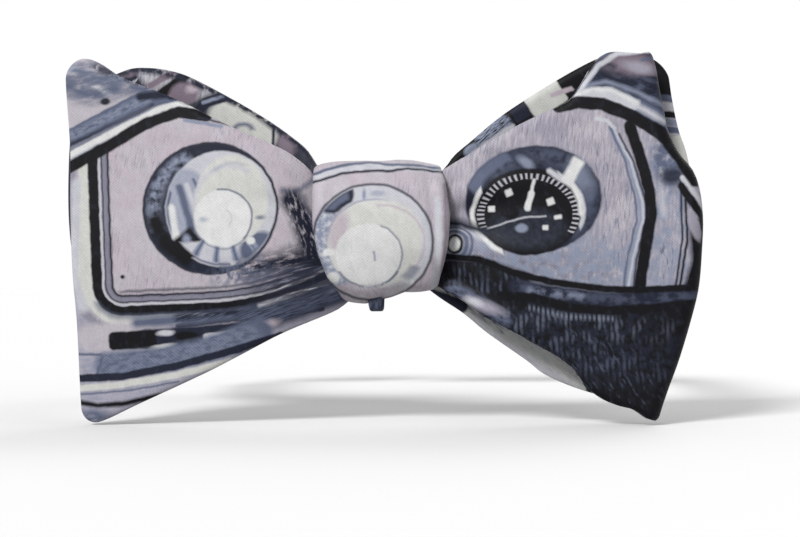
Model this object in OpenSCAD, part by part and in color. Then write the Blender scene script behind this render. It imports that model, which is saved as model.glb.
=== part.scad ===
// Self-tie butterfly bow tie, tied, on an adjustable neck band with hook, eye and slider.
// Origin: centre of the neck at half the height of the band. +Z up, the bow faces -Y.

/* [Neck band] */
// Inner radius of the band round the front of the neck
neck_r = 58; // [56:0.5:60]
// Height of the band
band_w = 18; // [16:0.5:19]
// Thickness of the printed face ply and of the lining ply
face_t = 0.5; // [0.4:0.05:0.6]
// Thickness of the interlining between them
inter_t = 0.46; // [0.3:0.02:0.6]
// Length of each straight side of the band
side_len = 36; // [30:1:40]
// Corner radius at the back of the neck
corner_r = 26; // [24:1:30]

/* [Bow] */
// Width of the knot
knot_w = 26.6; // [22:0.2:30]
// Height of the knot
knot_h = 27.8; // [24:0.2:30]
// Depth of the knot, front to back
knot_d = 18.8; // [18:0.2:22]
// Half width of the tied bow at its corners
bow_half_w = 60; // [50:1:65]
// Half height of the tied bow at its corners
bow_half_h = 34; // [28:1:38]
// Height of the pleated wings where they enter the knot
pinch_h = 25; // [20:0.5:26]
// How far the front layers belly forward between knot and edge
crown = 2; // [0:0.5:3]

/* [Closure] */
// Radius of the wire of the hook and eye
wire_r = 0.8; // [0.6:0.05:0.9]
// How far the hook stands off the eye before it is fastened
hook_lift = 18; // [14:1:25]
// Distance between the two long bars of the eye
eye_len = 8; // [7:0.5:9]
// How far the slider stands from the eye's strap bar
slider_gap = 30; // [28:1:32]

/* [Hidden] */
$fn = 96;

ply_gap = 0.02;                                   // air between two plies
strap_t = 2 * face_t + inter_t + 2 * ply_gap;     // whole strap
lining_at = 0;                                    // depth of each ply from the neck side
inter_at = face_t + ply_gap;
face_at = face_t + inter_t + 2 * ply_gap;

// The straps flex at these two lines, just beside the knot
flex_x = 14.2;
flex_gap = 0.8;

// Closure, on the straight stretch of band at the back
back_y = side_len + corner_r;                     // neck side of the strap there
bar_y = back_y - 1;                               // bars that a strap folds round
fold_out_r = back_y + strap_t - bar_y;            // outside of a strap folded round a bar
fold_in_r = fold_out_r - strap_t;
hook_x = -26;
eye_x = -4;
slider_x = eye_x + slider_gap;
rail_z = band_w / 2 + 0.5 + wire_r;               // rails run clear of the strap's edges
bend_r = 2;                                       // bend of a wire corner
tongue_w = 7;                                     // width of the hook's tongue
tongue_t = 1;
crossbar_x = 6;                                   // hook's crossbar, from its strap bar
leg_x = 15.2;                                     // hook's leg, from its strap bar
leg_t = 1.2;
leg_drop = 1.7;                                   // how far the leg reaches past the eye's plane
tab_len = 8;                                      // strap end sewn back beside the hook
plate_t = 1.2;                                    // stamped slider
slider_half_l = 5.5;
slider_edge = 1.8;
slider_air = 0.3;
return_t = 1;                                     // strap between eye and slider, pressed flat
slider_bar_r = 0.8;
slider_wrap_r = 1.85;
slider_bar_y = back_y - slider_air - slider_wrap_r;

// Depth of each layer of the bow, at the middle of its three plies
front_tail_y = -72;
front_loop_y = [-74.6, -70.4];                    // front layer, rear layer
back_loop_y = [-67, -63];
back_tail_y = -65;
knot_back_y = -60.2;
knot_y = knot_back_y - knot_d / 2;
wing_x = knot_w / 2 + 0.1;                        // wings start beside the knot
steps_out = 10;                                   // rings from knot to edge
steps_up = 8;                                     // rings from bottom to top
steps_fold = 6;

silk = [0.76, 0.74, 0.77];
dark_silk = [0.14, 0.15, 0.2];
strap_silk = [0.45, 0.47, 0.55];
canvas = [0.9, 0.88, 0.82];
thread = [0.2, 0.2, 0.25];
nickel = [0.72, 0.72, 0.74];

// ---------- bow ----------

function mix(a, b, t) = a + (b - a) * t;
function bez(p, t) =
    pow(1 - t, 3) * p[0] + 3 * pow(1 - t, 2) * t * p[1] + 3 * (1 - t) * t * t * p[2] + pow(t, 3) * p[3];

// One edge of a wing in X and Z, from the knot out to a corner: straight out, then flaring.
function wing_edge(side, z0, corner) =
    [[side * wing_x, z0], mix([side * wing_x, z0], corner, 0.3) + [0, -0.03 * corner[1]],
        mix([side * wing_x, z0], corner, 0.7), corner];

// A wing is [side, bottom edge, top edge, bulge of its outer edge].
function wing(side, low, high, bulge) =
    [side, wing_edge(side, -pinch_h / 2 - 0.7, low), wing_edge(side, pinch_h / 2 - 0.3, high), bulge];

function wing_at(w, u, v) =
    let (p = mix(bez(w[1], u), bez(w[2], u), v))
    [p[0] + w[0] * w[3] * pow(u, 3) * 4 * v * (1 - v), p[1]];

// A row of [point, normal] from bottom to top, where facing is -1 forward and 1 backward
function flat_row(w, u, y, facing) =
    [for (j = [0 : steps_up]) let (p = wing_at(w, u, j / steps_up)) [[p[0], y, p[1]], [0, facing, 0]]];

function fold_row(w, ys, a) =
    let (r = (ys[1] - ys[0]) / 2, n = [w[0] * sin(a), -cos(a), 0], y = (ys[0] + ys[1]) / 2)
    [for (j = [0 : steps_up]) let (p = wing_at(w, 1, j / steps_up)) [[p[0], y, p[1]] + r * n, n]];

function tail_rows(w, y) =
    [for (i = [0 : steps_out]) let (u = i / steps_out) flat_row(w, u, y - crown * sin(180 * u), -1)];

function loop_rows(w, ys) =
    [for (i = [0 : steps_out]) let (u = i / steps_out) flat_row(w, u, ys[0] - crown * sin(180 * u), -1),
        for (i = [1 : steps_fold - 1]) fold_row(w, ys, 180 * i / steps_fold),
        for (i = [steps_out : -1 : 0]) flat_row(w, i / steps_out, ys[1], 1)];

// A closed sheet between the offsets low and high along each point's normal
module sheet(rows, low, high) {
    nr = len(rows);
    nc = len(rows[0]);
    count = nr * nc;
    points = [for (t = [low, high]) for (r = rows) for (c = r) c[0] + t * c[1]];
    quads = concat(
        [for (i = [0 : nr - 2]) for (j = [0 : nc - 2]) let (a = i * nc + j) [a, a + 1, a + nc + 1, a + nc]],
        [for (i = [0 : nr - 2]) for (j = [0 : nc - 2]) let (a = count + i * nc + j)
            [a, a + nc, a + nc + 1, a + 1]],
        [for (i = [0 : nr - 2]) let (a = i * nc) [a, a + nc, a + nc + count, a + count]],
        [for (i = [0 : nr - 2]) let (a = i * nc + nc - 1) [a, a + count, a + nc + count, a + nc]],
        [for (j = [0 : nc - 2]) [j, j + count, j + 1 + count, j + 1]],
        [for (j = [0 : nc - 2]) let (a = (nr - 1) * nc + j) [a, a + 1, a + 1 + count, a + count]]);
    polyhedron(points, [for (q = quads) for (k = [1, 2]) [q[0], q[k], q[k + 1]]], convexity = 6);
}

// The plies of a blade, counted from its middle: 1 is the printed face, 0 the interlining, -1 the lining
module ply(rows, which) {
    half = inter_t / 2;
    low = which == 0 ? -half : which > 0 ? half + ply_gap : -half - ply_gap - face_t;
    sheet(rows, low, which == 0 ? half : low + face_t);
}

loop_in = 3;                                      // a loop's fold stands this far inside its outline
front_tail_wing = wing(-1, [1 - bow_half_w, -bow_half_h - 3.5], [-bow_half_w, bow_half_h - 1], 1);
front_loop_wing = wing(1, [bow_half_w - 5 - loop_in, -bow_half_h - 2.5],
    [bow_half_w - 6 - loop_in, bow_half_h + 1.5], 8);
back_loop_wing = wing(-1, [1 - bow_half_w + loop_in, -bow_half_h], [7 - bow_half_w + loop_in, bow_half_h], 6);
back_tail_wing = wing(1, [bow_half_w - 4, -bow_half_h - 1], [bow_half_w - 3, bow_half_h], 4);

module front_tail(which) ply(tail_rows(front_tail_wing, front_tail_y), which);
module front_loop(which) ply(loop_rows(front_loop_wing, front_loop_y), which);
module back_loop(which) ply(loop_rows(back_loop_wing, back_loop_y), which);
module back_tail(which) ply(tail_rows(back_tail_wing, back_tail_y), which);

module front_tail_face() color(silk) front_tail(1);
module front_tail_interlining() color(canvas) front_tail(0);
module front_tail_lining() color(silk) front_tail(-1);
module front_loop_face() color(silk) front_loop(1);
module front_loop_interlining() color(canvas) front_loop(0);
module front_loop_lining() color(silk) front_loop(-1);
module back_loop_face() color(dark_silk) back_loop(1);
module back_loop_interlining() color(canvas) back_loop(0);
module back_loop_lining() color(dark_silk) back_loop(-1);
module back_tail_face() color(dark_silk) back_tail(1);
module back_tail_interlining() color(canvas) back_tail(0);
module back_tail_lining() color(dark_silk) back_tail(-1);

module rounded_rect(w, h, r) {
    square([w - 2 * r, h], center = true);
    square([w, h - 2 * r], center = true);
    for (x = [-1, 1], y = [-1, 1]) translate([x * (w / 2 - r), y * (h / 2 - r)]) circle(r);
}

// One ply of the strip wrapped round the knot; depth is how far in from the outside it lies
module knot_ring(depth, t) {
    rotate([90, 0, 90]) translate([knot_y, 0, -knot_w / 2]) linear_extrude(knot_w) difference() {
        rounded_rect(knot_d - 2 * depth, knot_h - 2 * depth, 6 - depth);
        rounded_rect(knot_d - 2 * depth - 2 * t, knot_h - 2 * depth - 2 * t, 6 - depth - t);
    }
}

module knot_wrap_face() color(silk) knot_ring(0, face_t);
module knot_wrap_interlining() color(canvas) knot_ring(inter_at, inter_t);
module knot_wrap_lining() color(silk) knot_ring(face_at, face_t);

// A blade's gathered middle, which fills the knot from near_y to far_y
module waist(near_y, far_y) {
    waist_h = knot_h - 2 * strap_t - 2;
    rotate([90, 0, 90]) translate([(near_y + far_y) / 2, 0, -knot_w / 2])
        linear_extrude(knot_w) rounded_rect(abs(far_y - near_y), waist_h, 2.4);
}

waist_split_y = -69.4;                            // the front blade's middle lies before the back one's
waist_front_y = knot_back_y - knot_d + strap_t + 0.6;
waist_back_y = knot_back_y - strap_t - 0.6;
module front_waist() color(silk) waist(waist_front_y, waist_split_y - 0.2);
module back_waist() color(dark_silk) waist(waist_split_y + 0.2, waist_back_y);

// ---------- neck band ----------

// The band's plan, out past its neck side by d
module band_plan(d) {
    circle(neck_r + d, $fn = 180);
    translate([-neck_r - d, 0]) square([2 * (neck_r + d), side_len]);
    translate([corner_r - neck_r, side_len]) square([2 * (neck_r - corner_r), corner_r + d]);
    for (s = [-1, 1]) translate([s * (neck_r - corner_r), side_len]) circle(corner_r + d);
}

module band_ply(depth, t) {
    translate([0, 0, -band_w / 2]) linear_extrude(band_w) difference() {
        band_plan(depth + t);
        band_plan(depth);
    }
}

big = 200;
module front_window() translate([-flex_x + flex_gap / 2, -big, -big / 2]) cube([2 * flex_x - flex_gap, big, big]);
module left_window() {
    translate([-big, -big, -big / 2]) cube([big - flex_x - flex_gap / 2, big, big]);
    translate([-big, -0.01, -big / 2]) cube([big + hook_x, big, big]);
}
module right_window() {
    translate([flex_x + flex_gap / 2, -big, -big / 2]) cube([big, big, big]);
    translate([eye_x, -0.01, -big / 2]) cube([big, big, big]);
}

module front_strap(depth, t) intersection() {
    band_ply(depth, t);
    front_window();
}
module left_strap(depth, t) intersection() {
    band_ply(depth, t);
    left_window();
}
module right_strap(depth, t) intersection() {
    band_ply(depth, t);
    right_window();
}

module front_strap_face() color(strap_silk) front_strap(face_at, face_t);
module front_strap_interlining() color(canvas) front_strap(inter_at, inter_t);
module front_strap_lining() color(strap_silk) front_strap(lining_at, face_t);
module left_strap_face() color(strap_silk) left_strap(face_at, face_t);
module left_strap_interlining() color(canvas) left_strap(inter_at, inter_t);
module left_strap_lining() color(strap_silk) left_strap(lining_at, face_t);
module right_strap_face() color(strap_silk) right_strap(face_at, face_t);
module right_strap_interlining() color(canvas) right_strap(inter_at, inter_t);
module right_strap_lining() color(strap_silk) right_strap(lining_at, face_t);

// A strap end folded round a bar at x, bar_y: side is 1 where the strap comes from +X
module strap_fold(x, side) {
    translate([x, bar_y, -band_w / 2]) linear_extrude(band_w) intersection() {
        difference() {
            circle(fold_out_r);
            circle(fold_in_r);
        }
        translate([side > 0 ? -big : 0, -big / 2]) square([big, big]);
    }
}

// Neck side of the folded strap, from the bar out along X
tab_y = bar_y - fold_out_r;
module left_strap_end() color(strap_silk) {
    strap_fold(hook_x, -1);
    translate([hook_x - tab_len, tab_y, -band_w / 2]) cube([tab_len, strap_t, band_w]);
}
stitch_w = band_w - 4;
tack_t = 1.5;
tack_in = 2.2;                                    // from the end of the tab to its stitches
module left_bartack() color(thread) {
    translate([hook_x - tab_len + tack_in, tab_y + strap_t, -stitch_w / 2])
        cube([tack_t, back_y - tab_y - strap_t, stitch_w]);
}
module right_strap_fold() color(strap_silk) strap_fold(eye_x, 1);

module strap_return() color(strap_silk) {
    reach = slider_x - slider_wrap_r - slider_air - eye_x;
    translate([eye_x, tab_y, -band_w / 2]) cube([reach, return_t, band_w]);
}

label_h = 10;
label_len = 20;
label_t = 0.3;
module size_label() color("whitesmoke") {
    translate([-neck_r + ply_gap, side_len - label_len - 3, -label_h / 2]) cube([label_t, label_len, label_h]);
}

// ---------- hook, eye and slider ----------

// A rod along X or Z
module rod_x(x0, x1, z) translate([x0, 0, z]) rotate([0, 90, 0]) cylinder(h = x1 - x0, r = wire_r);
module rod_z(x, z0, z1) translate([x, 0, z0]) cylinder(h = z1 - z0, r = wire_r);

// A quarter bend of wire whose square corner would be at x, z; sx and sz point to the inside
module wire_bend(x, z, sx, sz) {
    translate([x + sx * bend_r, 0, z + sz * bend_r]) scale([-sx, 1, -sz]) rotate([90, 0, 0])
        rotate_extrude(angle = 90) translate([bend_r, 0]) circle(wire_r, $fn = 32);
}

// A rounded rectangle of wire from x = 0 to len
module wire_frame(len) {
    for (x = [0, len]) rod_z(x, bend_r - rail_z, rail_z - bend_r);
    for (z = [-1, 1]) {
        rod_x(bend_r, len - bend_r, z * rail_z);
        wire_bend(0, z * rail_z, 1, -z);
        wire_bend(len, z * rail_z, -1, -z);
    }
}

module eye_ring() color(nickel) translate([eye_x - eye_len, bar_y, 0]) wire_frame(eye_len);

// Drawn flat in the eye's plane, then lifted about its own strap bar
module hook() color(nickel) translate([hook_x, bar_y, 0]) rotate([0, 0, hook_lift]) {
    tongue_y = wire_r + 0.3;
    wire_frame(crossbar_x);
    translate([crossbar_x - wire_r, 0, -tongue_w / 2]) cube([2 * wire_r, tongue_y + tongue_t, tongue_w]);
    translate([crossbar_x - wire_r, tongue_y, -tongue_w / 2])
        cube([leg_x + leg_t - crossbar_x + wire_r, tongue_t, tongue_w]);
    translate([leg_x, -leg_drop, -tongue_w / 2]) cube([leg_t, leg_drop + tongue_y + tongue_t, tongue_w]);
}

plate_y = back_y + strap_t + slider_air;          // inner face of the slider's plate
module slider_frame() color(nickel) translate([slider_x, plate_y + plate_t, 0]) rotate([90, 0, 0])
    linear_extrude(plate_t) difference() {
        rounded_rect(2 * (slider_half_l + slider_edge / 2), 2 * (rail_z + wire_r), 2);
        rounded_rect(2 * (slider_half_l - slider_edge / 2), 2 * (rail_z - wire_r), 0.8);
    }

// The centre bar stands on two legs, so that the strap runs between it and the plate
module slider_bar() color(nickel) translate([slider_x, slider_bar_y, 0]) {
    cylinder(h = 2 * rail_z, r = slider_bar_r, center = true);
    for (z = [-1, 1]) translate([-slider_bar_r, 0, z * rail_z - wire_r + 0.1])
        cube([2 * slider_bar_r, plate_y - slider_bar_y, 2 * (wire_r - 0.1)]);
}

slider_wrap_in_r = slider_bar_r + 0.1;
module slider_loop() color(strap_silk) translate([slider_x, slider_bar_y, -band_w / 2]) linear_extrude(band_w) {
    difference() {
        circle(slider_wrap_r);
        circle(slider_wrap_in_r);
    }
}
// Row of stitches across the strap end, on its neck side
module slider_bartack() color(thread) {
    row_t = 0.5;
    translate([slider_x - tack_t / 2, slider_bar_y - slider_wrap_r - row_t, -stitch_w / 2])
        cube([tack_t, row_t, stitch_w]);
}

knot_wrap_face();
knot_wrap_interlining();
knot_wrap_lining();
front_waist();
back_waist();
front_tail_face();
front_tail_interlining();
front_tail_lining();
front_loop_face();
front_loop_interlining();
front_loop_lining();
back_loop_face();
back_loop_interlining();
back_loop_lining();
back_tail_face();
back_tail_interlining();
back_tail_lining();
front_strap_face();
front_strap_interlining();
front_strap_lining();
left_strap_face();
left_strap_interlining();
left_strap_lining();
left_strap_end();
left_bartack();
size_label();
hook();
right_strap_face();
right_strap_interlining();
right_strap_lining();
right_strap_fold();
strap_return();
eye_ring();
slider_frame();
slider_bar();
slider_loop();
slider_bartack();
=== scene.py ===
"""Looks of the hand-tied bow tie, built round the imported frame.

Lengths are in millimetres in the frame's own axes until a mesh is made: X to the right, Z up, and the bow
faces -Y. The print is drawn in the same X and Z, which run on round each fold along the cloth.
"""

import math

import bpy
import numpy as np
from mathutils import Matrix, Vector


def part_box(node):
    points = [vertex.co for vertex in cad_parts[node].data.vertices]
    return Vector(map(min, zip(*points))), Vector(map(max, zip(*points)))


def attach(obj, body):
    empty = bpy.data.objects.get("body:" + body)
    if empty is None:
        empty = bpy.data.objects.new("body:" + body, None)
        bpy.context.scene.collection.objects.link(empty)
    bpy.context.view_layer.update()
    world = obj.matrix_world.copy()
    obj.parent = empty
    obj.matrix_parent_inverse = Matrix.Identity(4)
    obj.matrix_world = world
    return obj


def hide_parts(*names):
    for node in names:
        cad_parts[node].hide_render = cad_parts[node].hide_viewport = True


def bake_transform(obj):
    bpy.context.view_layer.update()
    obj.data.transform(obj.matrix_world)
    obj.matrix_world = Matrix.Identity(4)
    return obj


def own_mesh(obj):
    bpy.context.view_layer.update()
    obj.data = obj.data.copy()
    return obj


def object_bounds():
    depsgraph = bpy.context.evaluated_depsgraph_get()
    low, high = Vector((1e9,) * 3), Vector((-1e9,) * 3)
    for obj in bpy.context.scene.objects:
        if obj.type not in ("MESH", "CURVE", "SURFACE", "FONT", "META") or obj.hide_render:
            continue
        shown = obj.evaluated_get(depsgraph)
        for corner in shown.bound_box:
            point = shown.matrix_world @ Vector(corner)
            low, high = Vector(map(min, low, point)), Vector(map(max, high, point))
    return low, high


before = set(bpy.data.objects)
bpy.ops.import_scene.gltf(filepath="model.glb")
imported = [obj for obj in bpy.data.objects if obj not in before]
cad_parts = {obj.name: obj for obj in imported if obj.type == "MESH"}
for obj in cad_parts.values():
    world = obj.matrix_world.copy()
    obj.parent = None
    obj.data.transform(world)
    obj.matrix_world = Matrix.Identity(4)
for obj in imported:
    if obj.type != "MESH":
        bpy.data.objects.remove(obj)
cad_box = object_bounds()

MM = 0.001
BOW, LEFT, RIGHT = "bow", "band_left", "band_right"
HOOK, EYE, SLIDER = "hook_body", "eye_body", "slider_body"


def box_mm(node):
    low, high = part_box(node)
    return np.array(low) / MM, np.array(high) / MM


# ---------------------------------------------------------------- camera, light and floor

VIEW_X, VIEW_Z = 3.6, -7.4        # the view's centre beside and below the knot's
BOW_Y = -72                       # middle of the bow's depth
VIEW_W = 157.5                    # width of the view there
LENS = 100
KEY = 2.5
FLOOR = 0.47                      # pale enough to look white where nothing shades it


def add_camera():
    data = bpy.data.cameras.new("camera")
    data.lens = LENS
    data.sensor_width = 36
    data.clip_start = 0.01
    camera = bpy.data.objects.new("camera", data)
    away = VIEW_W * LENS / data.sensor_width
    camera.location = (VIEW_X * MM, (BOW_Y - away) * MM, VIEW_Z * MM)
    camera.rotation_euler = (math.pi / 2, 0, 0)
    bpy.context.collection.objects.link(camera)
    bpy.context.scene.camera = camera


def add_sun(name, toward, strength, spread):
    """A distant lamp that shines from the direction toward, its shadows softened by spread degrees."""
    data = bpy.data.lights.new(name, "SUN")
    data.energy = strength
    data.angle = math.radians(spread)
    light = bpy.data.objects.new(name, data)
    light.rotation_euler = Vector(toward).to_track_quat("Z", "Y").to_euler()
    bpy.context.collection.objects.link(light)


def add_studio():
    add_sun("key", (-0.5, -1.0, 0.72), KEY, 16)
    add_sun("rear", (0.5, 1.0, 0.8), 0.6, 30)
    world = bpy.data.worlds.new("studio")
    world.use_nodes = True
    back = world.node_tree.nodes["Background"]
    back.inputs["Color"].default_value = (1, 1, 1, 1)
    back.inputs["Strength"].default_value = 0.5
    bpy.context.scene.world = world
    bpy.context.scene.view_settings.view_transform = "Standard"
    bpy.context.scene.view_settings.exposure = 1.0


def add_floor():
    half = 3.0
    z = cad_box[0][2] - 0.0008
    corners = [(-half, -half, z), (half, -half, z), (half, half, z), (-half, half, z)]
    mesh = bpy.data.meshes.new("floor")
    mesh.from_pydata(corners, [], [(0, 1, 2, 3)])
    floor = bpy.data.objects.new("floor", mesh)
    bpy.context.collection.objects.link(floor)
    material = bpy.data.materials.new("floor")
    material.use_nodes = True
    shader = material.node_tree.nodes["Principled BSDF"]
    shader.inputs["Base Color"].default_value = (FLOOR, FLOOR, FLOOR, 1)
    shader.inputs["Roughness"].default_value = 0.9
    shader.inputs["Specular IOR Level"].default_value = 0.1
    mesh.materials.append(material)


# ---------------------------------------------------------------- shader drawing

UV = "print"


LIT = 0.41          # the studio's light makes a cloth look this much brighter than it is


def colour(r, g, b):
    """The linear colour of a cloth that looks like r, g, b, each 0 to 255, in the studio's light."""
    return tuple(LIT * ((c / 255 + 0.055) / 1.055) ** 2.4 for c in (r, g, b)) + (1,)


LILAC = colour(197, 191, 199)
PINK = colour(196, 183, 194)
PALE = colour(204, 204, 212)
CREAM = colour(215, 215, 211)
WHITE = colour(228, 229, 228)
BLUE = colour(146, 154, 176)
STEEL = colour(96, 104, 128)
NAVY = colour(32, 36, 54)
INK = colour(9, 9, 16)
MAUVE = colour(134, 120, 134)
DUSK = colour(163, 158, 172)

TWILL_PITCH = 0.42
TWILL_ANGLE = 52
WAVE_PITCH = math.pi / 10       # pitch of a wave texture of scale 1


class Cloth:
    """One printed cloth's material. Its methods draw on it in millimetres, each over what is there.

    The drawing is all in single numbers: chains of vector nodes overrun the stack that Cycles gives a
    shader.
    """

    def __init__(self, name):
        self.material = bpy.data.materials.new(name)
        self.material.use_nodes = True
        self.tree = self.material.node_tree
        self.shader = self.tree.nodes["Principled BSDF"]
        uv = self.tree.nodes.new("ShaderNodeUVMap")
        uv.uv_map = UV
        self.flat = uv.outputs[0]
        self.x = self.dot(1, 0)
        self.z = self.dot(0, 1)
        self.ink = None

    def node(self, kind):
        return self.tree.nodes.new("ShaderNode" + kind)

    def put(self, socket, value):
        if isinstance(value, bpy.types.NodeSocket):
            self.tree.links.new(value, socket)
        else:
            socket.default_value = value

    def math(self, operation, *values, clamp=False):
        made = self.node("Math")
        made.operation = operation
        made.use_clamp = clamp
        for socket, value in zip(made.inputs, values):
            self.put(socket, value)
        return made.outputs[0]

    def dot(self, x, z):
        made = self.node("VectorMath")
        made.operation = "DOT_PRODUCT"
        self.put(made.inputs[0], self.flat)
        made.inputs[1].default_value = (x, z, 0)
        return made.outputs["Value"]

    def scaled(self, vector, factor):
        made = self.node("VectorMath")
        made.operation = "SCALE"
        self.put(made.inputs[0], vector)
        self.put(made.inputs["Scale"], factor)
        return made.outputs[0]

    def sum(self, *terms, clamp=False):
        """The sum of terms, each a value with its factor, and last a plain number."""
        total = terms[-1]
        for k, (value, factor) in enumerate(terms[:-1]):
            total = self.math("MULTIPLY_ADD", value, factor, total, clamp=clamp and k == len(terms) - 2)
        return total

    def length(self, x, z):
        return self.math("SQRT", self.math("MULTIPLY_ADD", x, x, self.math("MULTIPLY", z, z)))

    def place(self, x, z, angle=0.0, scale=(1, 1)):
        """The print's point seen from x, z, turned by angle degrees and measured in units of scale."""
        sx, sz = scale
        if angle == 0:
            return self.sum((self.x, 1 / sx), -x / sx), self.sum((self.z, 1 / sz), -z / sz)
        c, s = math.cos(math.radians(angle)), math.sin(math.radians(angle))
        return (self.sum((self.x, c / sx), (self.z, s / sx), -(x * c + z * s) / sx),
                self.sum((self.x, -s / sz), (self.z, c / sz), (x * s - z * c) / sz))

    def texture_place(self, x, z, angle, scale):
        """The same for a texture, from the cloth's own point."""
        made = self.node("Mapping")
        made.vector_type = "TEXTURE"
        self.put(made.inputs["Vector"], self.flat)
        made.inputs["Location"].default_value = (x, z, 0)
        made.inputs["Rotation"].default_value = (0, 0, math.radians(angle))
        made.inputs["Scale"].default_value = (scale[0], scale[1], 1)
        return made.outputs[0]

    # Each of these gives a distance in mm, negative inside
    def oval(self, x, z, rx, rz, angle=0.0):
        away = self.length(*self.place(x, z, angle, (rx, rz)))
        return self.sum((away, min(rx, rz)), -min(rx, rz))

    def block(self, x, z, w, h, angle=0.0, corner=0.3):
        px, pz = self.place(x, z, angle)
        over_x = self.math("ADD", self.math("ABSOLUTE", px), corner - w / 2)
        over_z = self.math("ADD", self.math("ABSOLUTE", pz), corner - h / 2)
        out = self.length(self.math("MAXIMUM", over_x, 0), self.math("MAXIMUM", over_z, 0))
        deep = self.math("MINIMUM", self.math("MAXIMUM", over_x, over_z), 0)
        return self.math("SUBTRACT", self.math("ADD", out, deep), corner)

    def stroke(self, points, width):
        """A line through points, width wide."""
        best = None
        for (x0, z0), (x1, z1) in zip(points, points[1:]):
            dx, dz = x1 - x0, z1 - z0
            long2 = dx * dx + dz * dz
            along = self.sum((self.x, dx / long2), (self.z, dz / long2), -(x0 * dx + z0 * dz) / long2,
                             clamp=True)
            px = self.sum((along, -dx), (self.x, 1), -x0)
            pz = self.sum((along, -dz), (self.z, 1), -z0)
            away = self.math("MULTIPLY_ADD", px, px, self.math("MULTIPLY", pz, pz))
            best = away if best is None else self.math("MINIMUM", best, away)
        return self.math("SUBTRACT", self.math("SQRT", best), width / 2)

    def above(self, x, z, angle):
        """Below zero on the upper side of the line through x, z at angle degrees."""
        s, c = math.sin(math.radians(angle)), math.cos(math.radians(angle))
        return self.sum((self.x, s), (self.z, -c), z * c - x * s)

    def rim(self, distance, width, at=0.0):
        return self.math("SUBTRACT", self.math("ABSOLUTE", self.math("SUBTRACT", distance, at)), width / 2)

    def both(self, a, b):
        return self.math("MAXIMUM", a, b)

    def cover(self, distance, soft=0.4):
        return self.math("MULTIPLY_ADD", distance, -1 / soft, 0.5, clamp=True)

    def draw(self, distance, ink, soft=0.4, strength=1.0, weave=None):
        """Puts ink where distance is below zero; weave, from 0 to 1, thins it."""
        cover = self.cover(distance, soft)
        if strength != 1.0:
            cover = self.math("MULTIPLY", cover, strength)
        if weave is not None:
            cover = self.math("MULTIPLY", cover, weave)
        self.mix(cover, ink)

    def line(self, points, width, ink, **how):
        self.draw(self.stroke(points, width), ink, **how)

    def spot(self, x, z, rx, rz, ink, angle=0.0, **how):
        self.draw(self.oval(x, z, rx, rz, angle), ink, **how)

    def bar(self, x, z, w, h, ink, angle=0.0, corner=0.3, **how):
        self.draw(self.block(x, z, w, h, angle, corner), ink, **how)

    def mix(self, share, ink):
        made = self.node("Mix")
        made.data_type = "RGBA"
        self.put(made.inputs[0], share)
        self.put(made.inputs[6], self.ink)
        self.put(made.inputs[7], ink)
        self.ink = made.outputs[2]

    def noise(self, size, stretch=(1, 1), angle=0.0, detail=2.0, seed=0.0):
        """Even noise from 0 to 1, in grains of size mm."""
        made = self.node("TexNoise")
        made.noise_dimensions = "3D"
        made.inputs["Scale"].default_value = 1 / size
        made.inputs["Detail"].default_value = detail
        self.put(made.inputs["Vector"], self.texture_place(seed * 37.0, seed * 11.0, angle, stretch))
        return made.outputs[0]

    def ribs(self, pitch, angle, wander=1.0):
        """Soft stripes from 0 to 1, pitch mm apart and square to angle degrees."""
        made = self.node("TexWave")
        made.bands_direction = "X"
        made.inputs["Scale"].default_value = 1.0
        made.inputs["Distortion"].default_value = wander
        made.inputs["Detail"].default_value = 2
        size = pitch / WAVE_PITCH
        self.put(made.inputs["Vector"], self.texture_place(0, 0, angle, (size, size)))
        return made.outputs["Fac"]

    def step(self, value, low, high):
        made = self.node("MapRange")
        made.interpolation_type = "SMOOTHSTEP"
        self.put(made.inputs[0], value)
        made.inputs[1].default_value = low
        made.inputs[2].default_value = high
        return made.outputs[0]

    def spokes(self, x, z, rx, rz, count, share, inner, outer, start=-180, end=180):
        """Ticks round an oval: count in a full turn, each share of its pitch, from inner to outer of
        the radii."""
        px, pz = self.place(x, z, 0, (rx, rz))
        turn = self.math("ARCTAN2", pz, px)
        away = self.length(px, pz)
        near = self.math("PINGPONG", self.math("MULTIPLY", turn, count / math.pi), 1)
        tick = self.math("MULTIPLY", self.math("SUBTRACT", near, share), min(rx, rz) * 3 / count)
        band = self.math("SUBTRACT", self.math("ABSOLUTE", self.math("SUBTRACT", away, (inner + outer) / 2)),
                         (outer - inner) / 2)
        found = self.both(tick, self.math("MULTIPLY", band, min(rx, rz)))
        if (start, end) != (-180, 180):
            middle, half = math.radians((start + end) / 2), math.radians((end - start) / 2)
            off = self.math("ABSOLUTE", self.math("WRAP", self.math("SUBTRACT", turn, middle), math.pi,
                                                  -math.pi))
            found = self.both(found, self.math("MULTIPLY", self.math("SUBTRACT", off, half), min(rx, rz)))
        return found

    def ground(self, ink, other, seed=0.0, wander=0.25):
        """Plain cloth in two close inks, with streaky grain. Everything after it wanders by a hair, as
        ink does."""
        self.x = self.sum((self.noise(2.2, seed=0.11), 2 * wander), (self.x, 1), -wander)
        self.z = self.sum((self.noise(2.2, seed=0.77), 2 * wander), (self.z, 1), -wander)
        grain = self.noise(1.3, (0.4, 2.6), -6, 3, seed)
        cloud = self.noise(8, (1, 1), 0, 2, seed + 0.3)
        share = self.math("ADD", self.math("MULTIPLY", grain, 0.55), self.math("MULTIPLY", cloud, 0.45))
        self.ink = self.node("RGB").outputs[0]
        self.ink.default_value = ink
        self.mix(self.step(share, 0.38, 0.66), other)
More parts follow.
